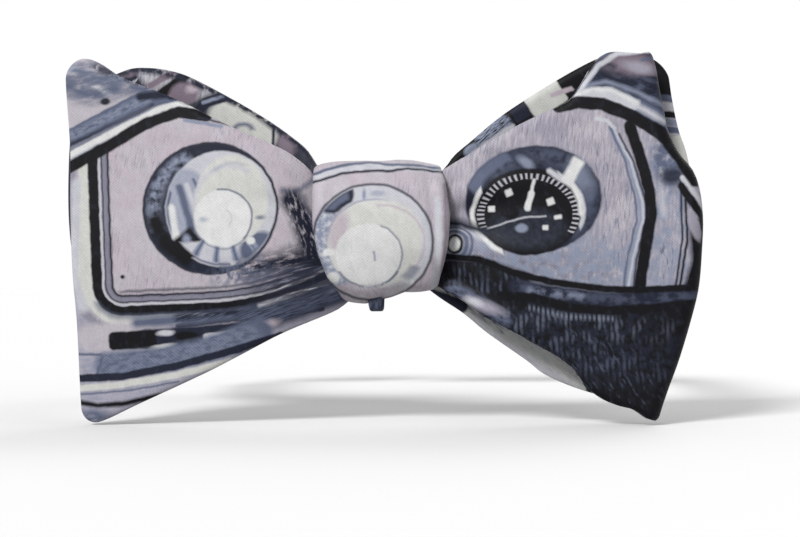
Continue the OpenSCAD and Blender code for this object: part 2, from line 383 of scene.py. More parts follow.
        # fine dark grain, as of wood, comes and goes in patches
        thin = self.step(self.noise(0.9, (0.3, 3.2), -9, 4, seed + 0.5), 0.5, 0.72)
        patch_share = self.step(self.noise(11, (1, 1), 0, 1, seed + 0.9), 0.35, 0.65)
        self.mix(self.math("MULTIPLY", self.math("MULTIPLY", thin, patch_share), 0.55), STEEL)

    def finish(self, roughness=0.58):
        """Twill: fine slanting ribs in colour and height, speckled gloss, with mottled ink and a silk sheen.
        """
        cloudy = self.step(self.noise(1.7, (0.8, 1.3), 15, 6, 0.21), 0.5, 0.74)
        self.mix(self.math("MULTIPLY", cloudy, 0.08), STEEL)
        rib = self.ribs(TWILL_PITCH, TWILL_ANGLE, 0.6)
        weft = self.ribs(0.24, TWILL_ANGLE + 78, 0)
        speck = self.noise(0.45, detail=2, seed=0.7)
        blotch = self.noise(2.6, (0.8, 1.2), 20, 4, 0.45)
        light = self.math("MULTIPLY_ADD", rib, 0.14, 0.93)
        light = self.math("MULTIPLY", light, self.math("MULTIPLY_ADD", speck, 0.26, 0.87))
        light = self.math("MULTIPLY", light, self.math("MULTIPLY_ADD", blotch, 0.3, 0.86))
        tint = self.node("VectorMath")
        tint.operation = "SCALE"
        self.put(tint.inputs[0], self.ink)
        self.put(tint.inputs["Scale"], light)
        self.put(self.shader.inputs["Base Color"], tint.outputs[0])
        rough = self.math("MULTIPLY_ADD", speck, 0.2, roughness - 0.1)
        self.put(self.shader.inputs["Roughness"], rough)
        height = self.math("ADD", self.math("MULTIPLY", rib, 0.7), self.math("MULTIPLY", weft, 0.3))
        bump = self.node("Bump")
        bump.inputs["Strength"].default_value = 0.35
        bump.inputs["Distance"].default_value = 0.00006
        self.put(bump.inputs["Height"], height)
        self.put(self.shader.inputs["Normal"], bump.outputs[0])
        self.shader.inputs["Sheen Weight"].default_value = 0.03
        self.shader.inputs["Sheen Roughness"].default_value = 0.3
        self.shader.inputs["Specular IOR Level"].default_value = 0.1
        return self.material


def dial(c, x, z, rx, rz, face, ring, angle=0.0):
    """A plain instrument: a ring, a face and evenly spaced ticks."""
    rim = c.oval(x, z, rx, rz, angle)
    c.draw(rim, ring)
    c.draw(c.rim(rim, 0.12 * rx, -0.13 * rx), BLUE, soft=0.6, strength=0.7)
    c.spot(x + 0.08 * rx, z, 0.74 * rx, 0.74 * rz, face, angle=angle)
    c.draw(c.spokes(x + 0.08 * rx, z, rx, rz, 24, 0.3, 0.58, 0.7), STEEL)


def repeat(c, pitch_x, pitch_z):
    """From here on, what is drawn comes again every pitch_x and pitch_z, counted from each centre."""
    c.x = c.math("WRAP", c.x, pitch_x / 2, -pitch_x / 2)
    c.z = c.math("WRAP", c.z, pitch_z / 2, -pitch_z / 2)


def reverse_print(name, seed):
    """The same kind of print where nothing shows it from the front: dials, frames and bars, repeated."""
    c = Cloth(name)
    c.ground(LILAC, PINK, seed)
    c.x, c.z = c.place(seed * 17.0, seed * 9.0, 4)
    repeat(c, 44, 36)
    frame_line = c.block(0, 0, 37, 29, 0, 4)
    c.draw(c.math("MULTIPLY", frame_line, -1), STEEL, weave=c.noise(1.4, (0.5, 2), 30, 2, seed))
    c.draw(c.rim(frame_line, 2.2), INK)
    c.draw(c.rim(frame_line, 0.4, -2.6), STEEL)
    c.draw(c.rim(frame_line, 1.4, 2.2), CREAM)
    dial(c, -4, 2, 10, 9.6, CREAM, NAVY)
    c.spot(-3, 1.4, 4, 4, WHITE)
    c.bar(13, -8, 7, 2.4, INK, angle=4, corner=0.7)
    c.spot(13, 9, 1.1, 1.1, WHITE)
    c.draw(c.rim(c.oval(13, 9, 1.9, 1.9), 0.5), NAVY)
    return c.finish()


def front_tail_print():
    c = Cloth("print_front_tail")
    c.ground(LILAC, PINK, 0.1)
    # the panel's frame, whose foot rises toward the knot
    plain = c.z
    past = c.math("MAXIMUM", c.math("ADD", c.x, 34), 0)
    c.z = c.sum((c.math("MULTIPLY", past, past), -0.0095), (c.z, 1), 0)
    panel = c.block(-26.5, 7.9, 60, 45, 2.5, 5)
    c.draw(c.math("SUBTRACT", 4.6, panel), BLUE, weave=c.noise(1.5, (2.2, 0.5), 6, 2, 0.9))
    c.draw(c.rim(panel, 1.5, 4.1), STEEL, soft=0.8, strength=0.55)
    c.draw(c.rim(panel, 1.9, 1.9), CREAM, soft=0.35)
    c.draw(c.rim(panel, 2.1), INK)
    c.draw(c.rim(panel, 0.5, -1.25), PALE)
    c.draw(c.rim(panel, 0.4, -1.7), NAVY)
    c.draw(c.rim(panel, 0.9, -2.3), STEEL, soft=0.5, strength=0.7)
    c.draw(c.rim(panel, 0.5, -2.9), NAVY)
    c.draw(c.both(c.rim(panel, 0.5, -3.8), c.above(-38, -9.5, 190)), NAVY, soft=0.6, strength=0.8)
    c.draw(c.both(c.rim(panel, 0.8, 1.3), c.above(-48, -14, 180)), STEEL, soft=1.2, strength=0.8)
    c.z = plain
    # light strip left of the frame
    c.line([(-59.6, 9), (-60.2, -8), (-58.6, -14.6)], 2.6, PALE, soft=1.2)
    c.line([(-58.4, 10), (-59, -9), (-57.2, -14.2)], 1.2, CREAM, soft=0.4)
    # upper left corner over the slanting bands
    c.draw(c.above(-52, 17.6, 27), LILAC, soft=0.6)
    smoke = c.step(c.noise(2.0, (1.5, 0.8), 10, 5, 0.2), 0.2, 0.55)
    c.line([(-62, 28.4), (-57, 26.4), (-51, 28.4), (-46, 27.6)], 2.6, STEEL, soft=2.4, weave=smoke)
    c.line([(-61, 32), (-56, 30), (-51, 29.6)], 1.8, BLUE, soft=1.8, weave=smoke)
    c.line([(-63, 30), (-57, 29), (-50, 31.6)], 1.4, STEEL, soft=1.4, strength=0.8, weave=smoke)
    c.line([(-58, 28.6), (-55.4, 28), (-53.6, 26.8)], 0.9, PALE, soft=0.9)
    c.line([(-54, 33), (-48, 30.4), (-40, 26.8)], 1.6, STEEL, soft=1.4)
    c.spot(-54.4, 25.4, 0.95, 0.7, INK)
    c.line([(-62.4, 17.6), (-55.5, 21.3), (-51, 23.7), (-46.6, 25.9), (-42, 26.6), (-37, 24.8)], 3.4,
           STEEL)
    c.line([(-60.6, 18.8), (-55.5, 21.5), (-50, 24.3), (-46, 26)], 1.7, BLUE, soft=0.8, strength=0.7,
           weave=c.step(c.noise(0.9, (1.6, 0.7), 27, 2, 0.4), 0.3, 0.6))
    c.line([(-47.5, 26.4), (-42, 26.8), (-36, 23.6)], 1.6, NAVY, soft=0.7)
    c.line([(-62.2, 16.4), (-51, 21.6), (-45, 24.6)], 0.7, NAVY, soft=0.7)
    c.line([(-62.2, 15.2), (-51, 21), (-43, 24.8), (-38.4, 25.6)], 1.0, STEEL, soft=0.9)
    c.line([(-62.2, 14.2), (-51, 20.1), (-43, 24), (-38.4, 24.9), (-34, 23.4)], 1.6, WHITE, soft=0.5)
    c.line([(-61.8, 13.6), (-50.6, 19.4), (-43, 23.3)], 0.5, BLUE, soft=0.6, strength=0.7)
    c.line([(-61.8, 12.2), (-54, 16.4), (-46.6, 20.9), (-40, 23.3), (-34.6, 22.4)], 2.3, INK)
    c.line([(-38.6, 21.6), (-31.5, 20.4)], 0.7, BLUE)
    c.line([(-36, 22.2), (-29.5, 20.6)], 0.35, NAVY)
    # instrument
    rim = c.oval(-33.6, 4.4, 13, 12.7)
    c.draw(rim, NAVY)
    c.draw(c.both(c.rim(rim, 2.4, -1.9), c.oval(-44, 9, 8, 9)), BLUE, soft=1.6,
           weave=c.step(c.noise(1.6, detail=4, seed=0.6), 0.3, 0.65))
    c.draw(c.both(c.rim(rim, 2.8, -2), c.oval(-42.5, -2.5, 6.5, 6)), INK, soft=1.4)
    face = c.oval(-31.4, 4.3, 10.9, 11.3)
    c.draw(face, PALE)
    c.draw(c.both(face, c.oval(-38.6, 3.6, 6.2, 8.5)), BLUE, soft=0.8, strength=0.7)
    c.draw(c.both(c.rim(face, 0.5, -0.5), c.above(-40, 6, 130)), STEEL)
    c.line([(-41.1, 4.4), (-40.2, -1.4)], 1.3, WHITE, soft=0.6)
    c.line([(-39.6, 8.4), (-37.2, 0.4)], 1.4, STEEL, soft=0.7)
    c.line([(-38.2, 9), (-36, 2.6)], 0.9, PALE, soft=0.6)
    c.line([(-36.9, 10), (-34.8, 5.4)], 0.5, STEEL, soft=0.5)
    c.bar(-38, -2.9, 5.8, 5, INK, angle=40, corner=0.6, soft=0.9)
    c.spot(-38.2, -1.8, 0.8, 1.0, BLUE, soft=0.8)
    c.draw(c.both(c.oval(-31.4, 4.3, 10.2, 10.6), c.above(-31.4, -1.8, 184)), PALE, soft=0.6)
    c.draw(c.both(c.oval(-31.4, 4.3, 10.6, 11), c.oval(-24.6, -3, 3.6, 2.4, 35)), STEEL, soft=0.8)
    c.draw(c.spokes(-31.4, 4.3, 10.4, 10.8, 15, 0.34, 0.55, 0.97, -128, -42), BLUE, soft=0.5)
    c.draw(c.spokes(-31.4, 4.3, 10.4, 10.8, 15, 0.12, 0.55, 0.97, -125, -48), STEEL, soft=0.4)
    c.spot(-29.4, 6, 7.1, 8.7, CREAM, soft=0.5)
    c.draw(c.both(c.rim(c.oval(-29.8, 5.2, 6.7, 7.4), 0.7), c.above(-32, 8, 30)), PALE, soft=0.9)
    c.draw(c.both(c.rim(c.oval(-29, 10, 4.4, 3.2), 0.4), c.above(-31, 12, 10)), BLUE, soft=0.8,
           strength=0.5)
    c.spot(-31.1, 2.4, 5.6, 5.6, WHITE, soft=0.6)
    c.draw(c.both(c.rim(c.oval(-31.1, 2.4, 5.7, 5.7), 0.3), c.above(-30, 4, -62)), STEEL)
    c.draw(c.both(c.rim(c.oval(-31.1, 2.4, 5.9, 5.9), 0.3), c.above(-31, -1, 180)), STEEL, strength=0.6)
    c.draw(c.both(c.rim(c.oval(-30.6, 2.4, 1.3, 1.5), 0.3), c.above(-30.2, 3, -80)), PALE, strength=0.8)
    c.spot(-34.8, 2.2, 0.8, 0.5, BLUE, soft=0.7, strength=0.6)
    c.spot(-23.8, 2.5, 0.8, 0.4, STEEL, soft=0.5, strength=0.8)
    c.spot(-25.6, -2, 0.8, 0.7, WHITE)
    c.draw(c.rim(rim, 0.5), NAVY)
    # print crossing toward the knot, darkened with painted shadow in the creases where the blade folds into
    # it
    c.line([(-19.6, 8), (-17.4, 7.4), (-14, 9.6)], 0.9, STEEL, soft=1.0, strength=0.8)
    # painted shadow down the crease under the fold lobe beside the knot, broken up by noise
    c.line([(-17.8, 6), (-16, 2.8), (-14.6, -1.4), (-14, -4)], 4.4, NAVY, soft=1.8,
           weave=c.step(c.noise(1.0, (0.6, 1.8), 20, 6, 0.5), 0.28, 0.52))
    c.line([(-15.4, 6.4), (-13.6, 1)], 0.9, STEEL, soft=1.0, weave=c.noise(0.8, (0.5, 2), 20, 4, 0.1))
    # painted shadow of the gathers running left from the knot, mixed with the print's dark band
    c.line([(-13, -4.8), (-18, -5.6), (-26, -7.6)], 4, NAVY, soft=2.8,
           weave=c.step(c.noise(1.2, (1.7, 0.7), 12, 6, 0.6), 0.3, 0.56))
    c.line([(-13, -7), (-19, -8), (-25, -9.6)], 2.2, STEEL, soft=1.8,
           weave=c.step(c.noise(0.9, (1.8, 0.6), 12, 5, 0.2), 0.32, 0.6))
    c.spot(-27.6, -7.8, 5.4, 2.4, STEEL, angle=16, soft=2.6,
           weave=c.step(c.noise(1.3, (0.8, 1.4), -12, 5, 0.8), 0.38, 0.62))
    c.spot(-50.8, -9, 0.4, 0.4, INK)
    # strip below the frame
    c.line([(-57, -21), (-50, -20.6), (-44, -20.4)], 5.5, LILAC, soft=1.2)
    c.line([(-40, -18.6), (-30, -17.4), (-23, -16.4), (-12, -15)], 1.0, INK, soft=0.35)
    c.line([(-46, -21.2), (-36, -20.6), (-25, -19.6)], 3.9, NAVY, soft=0.5)
    c.bar(-48.9, -21.4, 9.4, 3.6, INK, angle=3, corner=0.9)
    c.spot(-42.4, -20, 1.7, 0.6, PALE, angle=5)
    c.spot(-42.8, -22.6, 2.2, 0.45, WHITE, angle=8)
    c.spot(-37.9, -20.8, 2.7, 1.1, INK, angle=-6)
    c.bar(-32, -20.6, 6.2, 1.6, PALE, angle=7, corner=0.7)
    c.spot(-27.2, -20.1, 1.8, 1.4, INK)
    c.spot(-27.2, -20.1, 1.0, 0.9, WHITE)
    streak = c.step(c.noise(0.8, (3.6, 0.35), 19, 4, 0.15), 0.3, 0.58)
    c.line([(-48, -18), (-36, -17.2), (-26, -16), (-12, -12.4)], 2.1, STEEL, soft=1.4)
    c.line([(-40, -17), (-26, -15.6), (-12, -12)], 1.6, NAVY, soft=1.2, weave=streak)
    c.line([(-26, -17.8), (-17, -14.8), (-8, -11.4)], 5, NAVY, soft=1.6)
    c.line([(-26, -17.4), (-17, -14.4), (-8, -11)], 4, STEEL, soft=1.6, strength=0.8, weave=streak)
    c.line([(-24, -14.6), (-17, -12.4), (-8, -9.2)], 0.6, PALE, soft=0.8)
    c.spot(-22.8, -18.4, 2.4, 0.7, PINK, angle=20, soft=0.8)
    # hatched ground at the foot
    hatch = c.math("MULTIPLY", c.step(c.noise(1.3, (1.4, 0.8), 8, 6, 0.35), 0.34, 0.6),
                   c.math("MULTIPLY_ADD", c.ribs(0.5, 52, 3), 0.5, 0.5))
    c.line([(-54, -26.4), (-44, -25.4), (-34, -23.2), (-24, -19.6)], 5, STEEL, soft=1.2)
    c.line([(-56, -26.4), (-44, -25.4), (-34, -23.4), (-26, -20.6)], 4.4, BLUE, soft=1.6, strength=0.6,
           weave=hatch)
    c.line([(-60, -24.2), (-55.2, -24.3)], 0.45, STEEL)
    c.line([(-54.9, -24.8), (-55.9, -28)], 0.5, STEEL)
    c.line([(-60, -29), (-51, -28.6), (-40, -26.4), (-30, -23.6), (-20, -20.4)], 1.5, NAVY, soft=0.35)
    c.line([(-60, -31), (-51, -30.2), (-40, -28.2), (-30, -25.6)], 1.3, CREAM, soft=0.4)
    c.line([(-60, -32.2), (-50, -31.4), (-40, -29.6)], 0.35, STEEL)
    c.line([(-60, -33.6), (-56, -34.4), (-51, -34), (-44, -32.4)], 1.0, INK, soft=0.6)
    c.spot(-57.6, -36.8, 4, 1.6, STEEL, angle=4, soft=1.4, weave=smoke)
    c.spot(-14, -9.4, 11, 4.6, NAVY, angle=17, soft=4, strength=0.9,
           weave=c.step(c.noise(1.1, (3, 0.5), 18, 5, 0.44), 0.26, 0.54))
    c.spot(-56, 30, 9, 4.4, STEEL, angle=8, soft=3, strength=0.75,
           weave=c.step(c.noise(1.3, (2, 0.7), 12, 5, 0.81), 0.3, 0.58))
    # dark flecks where the print runs round the hem
    fleck = c.step(c.noise(2.6, (0.6, 1.2), 0, 2, 0.65), 0.42, 0.52)
    c.line([(-63, 30), (-62.4, 12), (-62, -8), (-60.6, -24), (-59.6, -36)], 1.0, NAVY, soft=0.5,
           weave=fleck)
    c.line([(-56, 32), (-46, 28.6), (-38, 25.4)], 1.4, NAVY, soft=0.9, strength=0.8, weave=fleck)
    return c.finish()


def knot_print():
    c = Cloth("print_knot")
    c.ground(LILAC, PINK, 0.6)
    c.line([(-15, 10.2), (-7.5, 12), (-2, 12.6), (5, 12.5), (14, 11.8)], 1.5, PALE, soft=0.5)
    c.line([(-15, 10.6), (-7.5, 12.8), (-2.2, 13.5), (2, 12.9), (6, 12.9), (14, 12)], 0.6, STEEL)
    c.line([(-15, 8.9), (-7.5, 11.1), (-3.3, 11.6), (2, 11.6), (5.2, 12.2), (14, 11.2)], 0.5, NAVY)
    c.line([(10.9, 6), (11.2, -2), (10.4, -11)], 1.3, PALE, soft=0.6)
    c.line([(12.3, 9), (12.5, -1), (11.8, -8)], 0.5, MAUVE, soft=0.6, strength=0.7)
    rim = c.oval(-1.7, -2.3, 11.7, 11.3)
    c.draw(rim, PALE)
    left = c.oval(-10.5, -5, 6, 9.5)
    c.draw(c.both(rim, left), BLUE, soft=1.2, weave=c.step(c.noise(1.0, seed=0.15), 0.3, 0.62))
    c.draw(c.both(rim, c.oval(-3, -13.4, 9, 3.4)), PINK, soft=0.8)
    c.draw(c.both(c.rim(rim, 2.2, -1.5), c.oval(-9.6, 7, 4.3, 3.6)), NAVY, soft=0.5)
    c.draw(c.both(c.rim(rim, 1.2, -1.2), c.oval(-9.6, 6.4, 3.2, 2.4)), STEEL, soft=0.6)
    c.spot(-3.4, 6.9, 0.35, 1.1, BLUE)
    c.spot(-0.7, 7.2, 1.4, 0.55, BLUE, soft=0.5, strength=0.6)
    c.spot(-1.4, -2.6, 9.1, 8.6, CREAM, soft=0.4)
    c.draw(c.both(c.rim(c.oval(-1.4, -2.6, 9.1, 8.6), 0.3), c.above(-3, 3, 30)), BLUE, strength=0.8)
    c.spot(-8.2, -0.4, 1.8, 4, PINK, angle=-14, soft=1.2, strength=0.8)
    c.spot(0.6, -1.4, 7.4, 7.2, CREAM, soft=1)
    c.draw(c.both(c.rim(c.oval(0.4, -2.4, 8, 7.2), 0.3), c.above(2, 0, -60)), PINK, soft=0.5)
    c.spot(-2.5, -4.8, 6.5, 6.1, WHITE, soft=0.5)
    c.draw(c.both(c.rim(c.oval(-2.5, -4.8, 6.5, 6.1), 0.3), c.above(0, -4.5, -88)), STEEL, strength=0.8)
    c.draw(c.both(c.rim(c.oval(-2.5, -4.8, 6.6, 6.2), 0.35), c.above(-2, -8, 180)), STEEL, strength=0.8)
    c.line([(-1.4, -4.2), (-1.2, -5.8)], 0.3, BLUE)
    c.bar(-10.2, -4.3, 2.4, 1.3, WHITE, angle=4, corner=0.5)
    c.spot(-9.4, -9.1, 1.3, 1.0, WHITE)
    c.bar(5.2, -9.8, 2.6, 1.2, WHITE, angle=-32, corner=0.5)
    c.draw(c.both(c.rim(rim, 1.8, -2), c.oval(6, -8.4, 2.2, 1.6)), STEEL, soft=0.8, strength=0.6)
    hatch = c.step(c.noise(0.5, (3.5, 0.5), -60, 1, 0.2), 0.4, 0.62)
    c.draw(c.both(c.oval(-1.7, -2.6, 11, 10.8), c.above(-2, -10.4, 186)), PALE, soft=0.6, weave=hatch)
    c.draw(c.rim(rim, 0.5), NAVY, strength=0.85)
    return c.finish()


def front_loop_print():
    c = Cloth("print_front_loop")
    c.ground(DUSK, LILAC, 0.35)
    c.spot(33, -8, 24, 5, STEEL, angle=-6, soft=6, strength=0.6,
           weave=c.step(c.noise(1.4, detail=6, seed=0.14), 0.35, 0.62))
    c.spot(33, -6, 22, 7, BLUE, angle=-6, soft=7,
           weave=c.step(c.noise(2.0, detail=5, seed=0.4), 0.3, 0.62))
    c.spot(56, 4, 6, 16, BLUE, angle=6, soft=5,
           weave=c.step(c.noise(1.8, (0.7, 1.6), detail=5, seed=0.2), 0.35, 0.65))
    slub = c.step(c.noise(1.1, (0.4, 2.6), 4, 3, 0.66), 0.56, 0.66)
    c.spot(45, 6, 5.5, 13, STEEL, angle=6, soft=3, strength=0.55, weave=slub)
    # instrument
    rim = c.oval(29.8, 6, 13.2, 10.5, 6)
    c.draw(rim, NAVY)
    c.draw(c.both(c.rim(rim, 3, -2), c.oval(30, 13, 10, 4.5)), STEEL, soft=2.2, strength=0.7,
           weave=c.step(c.noise(1.6, detail=4, seed=0.3), 0.25, 0.6))
    c.draw(c.both(c.rim(rim, 2.6, -1.8), c.oval(40, 5, 5, 7)), STEEL, soft=2.6, strength=0.65,
           weave=c.step(c.noise(2.2, detail=4, seed=0.7), 0.25, 0.6))
    c.spot(38.8, 10.4, 2, 3.4, BLUE, angle=26, soft=2.2, strength=0.6)
    c.spot(28, 14, 6, 1.6, NAVY, angle=-6, soft=1.6, strength=0.8, weave=c.noise(1.4, detail=5, seed=0.6))
    c.spot(28.2, 13.2, 1.8, 0.9, BLUE, angle=-38, soft=0.8, strength=0.8)
    c.draw(c.both(c.rim(rim, 2, -1), c.oval(21, 11.6, 5, 5)), STEEL, soft=0.8)
    face = c.oval(28.8, 3.6, 10.4, 8.4, 4)
    c.draw(face, INK)
    c.draw(c.both(c.rim(face, 0.75, 0.3), c.above(21, 4, 108)), WHITE)
    c.draw(c.both(c.rim(face, 0.7, 0.2), c.above(37.5, 3.5, -68)), PALE)
    c.line([(32.8, 11.6), (35, 10), (36.6, 9.6)], 1.1, PALE, soft=0.6)
    c.bar(37.4, 11.7, 2.4, 5, WHITE, angle=-28, corner=0.4, soft=0.7)
    c.line([(35.6, 9.9), (37.4, 8.6), (38.6, 6), (38.9, 3.4)], 1.0, WHITE, soft=0.6)
    c.draw(c.spokes(28.8, 3.2, 10.2, 8.2, 54, 0.34, 0.84, 0.96, -30, 205), PALE, soft=0.3)
    c.spot(28.6, 0.4, 7.5, 4, STEEL, angle=0, soft=1.5, strength=0.35, weave=c.noise(1, seed=0.3))
    for x, z, w, h, turn in ((21.7, 4.3, 1.4, 1.2, 0), (24.8, 7.5, 1.3, 1.3, 20), (33, 5.7, 1.4, 1.4, 20),
                             (34.4, 2.7, 1.5, 0.8, 6), (32, 0.6, 1.2, 1.0, 0)):
        c.bar(x, z, w, h, WHITE, angle=turn, corner=0.25)
    c.spot(27.4, 0.5, 1.2, 0.9, BLUE, soft=0.5)
    c.spot(25.2, 3.6, 1.8, 1.3, INK, soft=0.4)
    c.line([(28.5, 4.4), (29.2, 7.4)], 1.2, WHITE)
    c.line([(29, 7), (29.8, 9.8)], 0.6, WHITE)
    c.line([(21, 0.4), (24.5, 1.7), (28, 2.6), (32, 2.9)], 0.28, PALE)
    # painted shade in the deep of the fold beside the knot, with a pale line along its lower lip
    c.line([(12, 1.6), (16, 1.4), (20.6, -0.4)], 1.6, NAVY, soft=1.5)
    c.line([(12, -0.4), (16, -0.2), (19.4, -1.6)], 0.9, PALE, soft=1.0, strength=0.8)
    # screw
    c.draw(c.rim(c.oval(14.6, -2.7, 3.3, 3.3), 0.55), STEEL, soft=0.4)
    c.draw(c.rim(c.oval(14.6, -2.7, 2.3, 2.3), 0.8), STEEL, soft=0.4)
    c.spot(14.6, -2.7, 1.6, 1.6, INK)
    c.spot(14.5, -2.7, 1.05, 1.05, WHITE)
    # bar with its side lines
    c.line([(45, 19.6), (48.4, 13.4), (50.6, 5.8), (50.8, 2.2), (48.8, -5.6), (48, -11)], 1.3, BLUE,
           soft=0.7)
    c.line([(45.4, 19.6), (48.6, 13.4), (50.8, 5.8), (51, 2.2), (49, -5.6), (48.2, -11)], 0.4, PALE,
           soft=0.5)
    c.line([(44.5, 20.2), (47.4, 13.8), (49.5, 6), (49.8, 2.2), (47.9, -5.8), (47.4, -11)], 0.4, STEEL)
    c.line([(46.4, 18.8), (49.2, 13.2), (51.4, 5.8), (51.6, 2.2), (49.7, -5.8), (49.2, -11)], 0.35, NAVY)
    c.line([(48.4, 20.4), (50.6, 13.8), (52.2, 7.8), (52.6, 3.2), (51.4, -4), (50.4, -11)], 2.3, INK)
    c.line([(54, 16.6), (54.6, 10), (55, 3)], 1.0, PALE, soft=0.8, strength=0.6)
    c.spot(55.8, 13, 3, 5, STEEL, angle=14, soft=2,
           weave=c.step(c.noise(1.6, detail=5, seed=0.33), 0.25, 0.55))
    c.spot(56.8, 10.6, 2.4, 1.6, NAVY, soft=1.4, strength=0.9)
    c.spot(55.6, -5.5, 1.4, 4.5, STEEL, soft=0.9, strength=0.8, weave=slub)
    c.line([(58.3, 9.8), (58.6, -1.6), (57.4, -11)], 0.45, NAVY)
    c.line([(59.2, 6), (59.6, -1.6), (58.2, -11)], 0.5, INK)
    c.line([(61.4, 1), (61.6, -6), (60, -13)], 2.8, INK, soft=0.8)
    c.line([(58.6, 10.2), (61.4, 6), (64.5, 1.6)], 1.0, PALE)
    c.line([(58.4, 8.6), (61, 4.4), (64.5, -0.6)], 1.5, INK)
    c.spot(60.8, 0.9, 0.9, 3, DUSK, angle=16)
    # slanting bands over the top
    c.draw(c.above(47, 23, -24), NAVY, soft=0.6)
    c.spot(48, 28, 9, 4, STEEL, angle=-16, soft=3, strength=0.7,
           weave=c.step(c.noise(1.6, (1.6, 0.7), -20, 6, 0.2), 0.45, 0.68))
    c.line([(44, 27), (50, 24.6), (55.5, 21.4), (60.5, 15.6)], 2.6, STEEL, soft=0.8)
    c.line([(36, 25.4), (40, 26.8), (44, 26.9), (49, 24.7)], 2.2, PALE, soft=0.6)
    c.line([(48, 25.2), (52, 23.2), (55, 21.2)], 1.1, PALE, soft=1.0)
    c.line([(38, 26.4), (41, 27.6), (45, 27.4), (50, 25)], 0.7, WHITE, soft=0.9)
    c.line([(38, 27.8), (44, 29.2), (50, 27), (55.5, 24)], 0.6, BLUE, soft=1.0)
    c.line([(34.6, 24.2), (38.5, 25), (43, 24.7), (49, 22.3), (54.6, 18.8), (58.4, 13.8), (61, 9.6)], 2.5,
           INK)
    c.line([(42, 21.8), (44, 21.4), (45.4, 20)], 0.8, PALE)
    c.spot(48.6, 32.4, 5.6, 2.2, MAUVE, angle=-4, soft=1.4, strength=0.9)
    c.spot(50.2, 31.9, 3.2, 1.1, DUSK, angle=-14, soft=1.0)
    c.line([(43, 33.2), (45.4, 32)], 1.0, NAVY, soft=1.0, strength=0.8)
    c.spot(46.6, 30.2, 5.4, 1.0, NAVY, angle=-14, soft=1.2, weave=c.noise(1.2, detail=5, seed=0.9))
    c.line([(51, 33.4), (54, 33.8)], 0.6, STEEL, soft=0.5)
    c.line([(38.6, 27.4), (42.4, 32.2), (46, 34.6), (52, 35.3)], 1.0, PALE, soft=0.5)
    c.line([(38, 29), (41.6, 33.4), (46, 35.8)], 0.7, STEEL)
    # lower bands and grille
    c.draw(c.above(34, -12.4, 178), INK, soft=0.8)
    murk = c.step(c.noise(2.4, (1, 1.2), 10, 6, 0.5), 0.42, 0.66)
    ribbed = c.math("MULTIPLY", murk, c.ribs(1.1, 4, 3))
    c.spot(38, -21, 22, 8, NAVY, angle=-8, soft=5, strength=0.8,
           weave=c.step(c.noise(1.6, detail=6, seed=0.9), 0.38, 0.62))
    c.spot(36, -18.4, 19, 2.9, BLUE, angle=-3, soft=2.5, strength=0.36, weave=ribbed)
    c.spot(38, -23.6, 17, 3.8, STEEL, angle=-14, soft=4, strength=0.5, weave=ribbed)
    c.spot(45, -28, 12, 7, STEEL, angle=-34, soft=5, strength=0.5,
           weave=c.math("MULTIPLY", c.step(c.noise(1.6, (0.7, 1.6), 30, 6, 0.8), 0.5, 0.72),
           c.ribs(0.9, 30, 6)))
    # painted shade: the dark pucker where the loop gathers into the knot's foot, in ink with steel ribs over
    # it
    c.line([(12, -9), (20, -9), (26, -11)], 7, INK, soft=1.2)
    c.spot(20, -9.4, 9, 3.6, STEEL, angle=-8, soft=3, strength=0.6, weave=ribbed)
    blocks = c.step(c.noise(1.9, (1.2, 1), 0, 4, 0.3), 0.4, 0.6)
    c.line([(26, -10.8), (33, -12), (44, -13.4), (61, -12.6)], 2.8, NAVY, soft=0.8)
    c.line([(27, -11), (36, -12.6), (46, -13.5), (61, -12.6)], 2.2, STEEL, soft=1.4, strength=0.45,
           weave=blocks)
    c.line([(29, -11.6), (35, -12.4), (39, -12.8)], 1.0, BLUE, soft=1.2, strength=0.7, weave=blocks)
    c.line([(12, -4.8), (19.4, -5.4), (25.7, -8.2), (33, -9.9), (44, -11.4), (51, -11.5), (64, -10.8)],
           1.4, INK)
    c.line([(17, -14), (24, -12.6), (29.5, -13), (37, -15), (44, -15.6), (54, -15), (64, -13.6)], 1.7,
           INK)
    c.line([(29, -15), (36, -16.7), (45, -17.2)], 0.9, BLUE, soft=0.9, strength=0.6,
           weave=c.ribs(0.9, 2, 1))
    c.line([(14, -11.6), (19, -14), (24, -17.4)], 2.6, STEEL, soft=1.6,
           weave=c.step(c.noise(1.2, (1.6, 0.6), -24, 4, 0.6), 0.3, 0.6))
    c.spot(20.2, -14.8, 3.4, 1.0, DUSK, angle=-20, soft=1.2)
    c.spot(18.2, -14, 1.6, 0.6, PALE, angle=-20, soft=0.8)
    return c.finish()


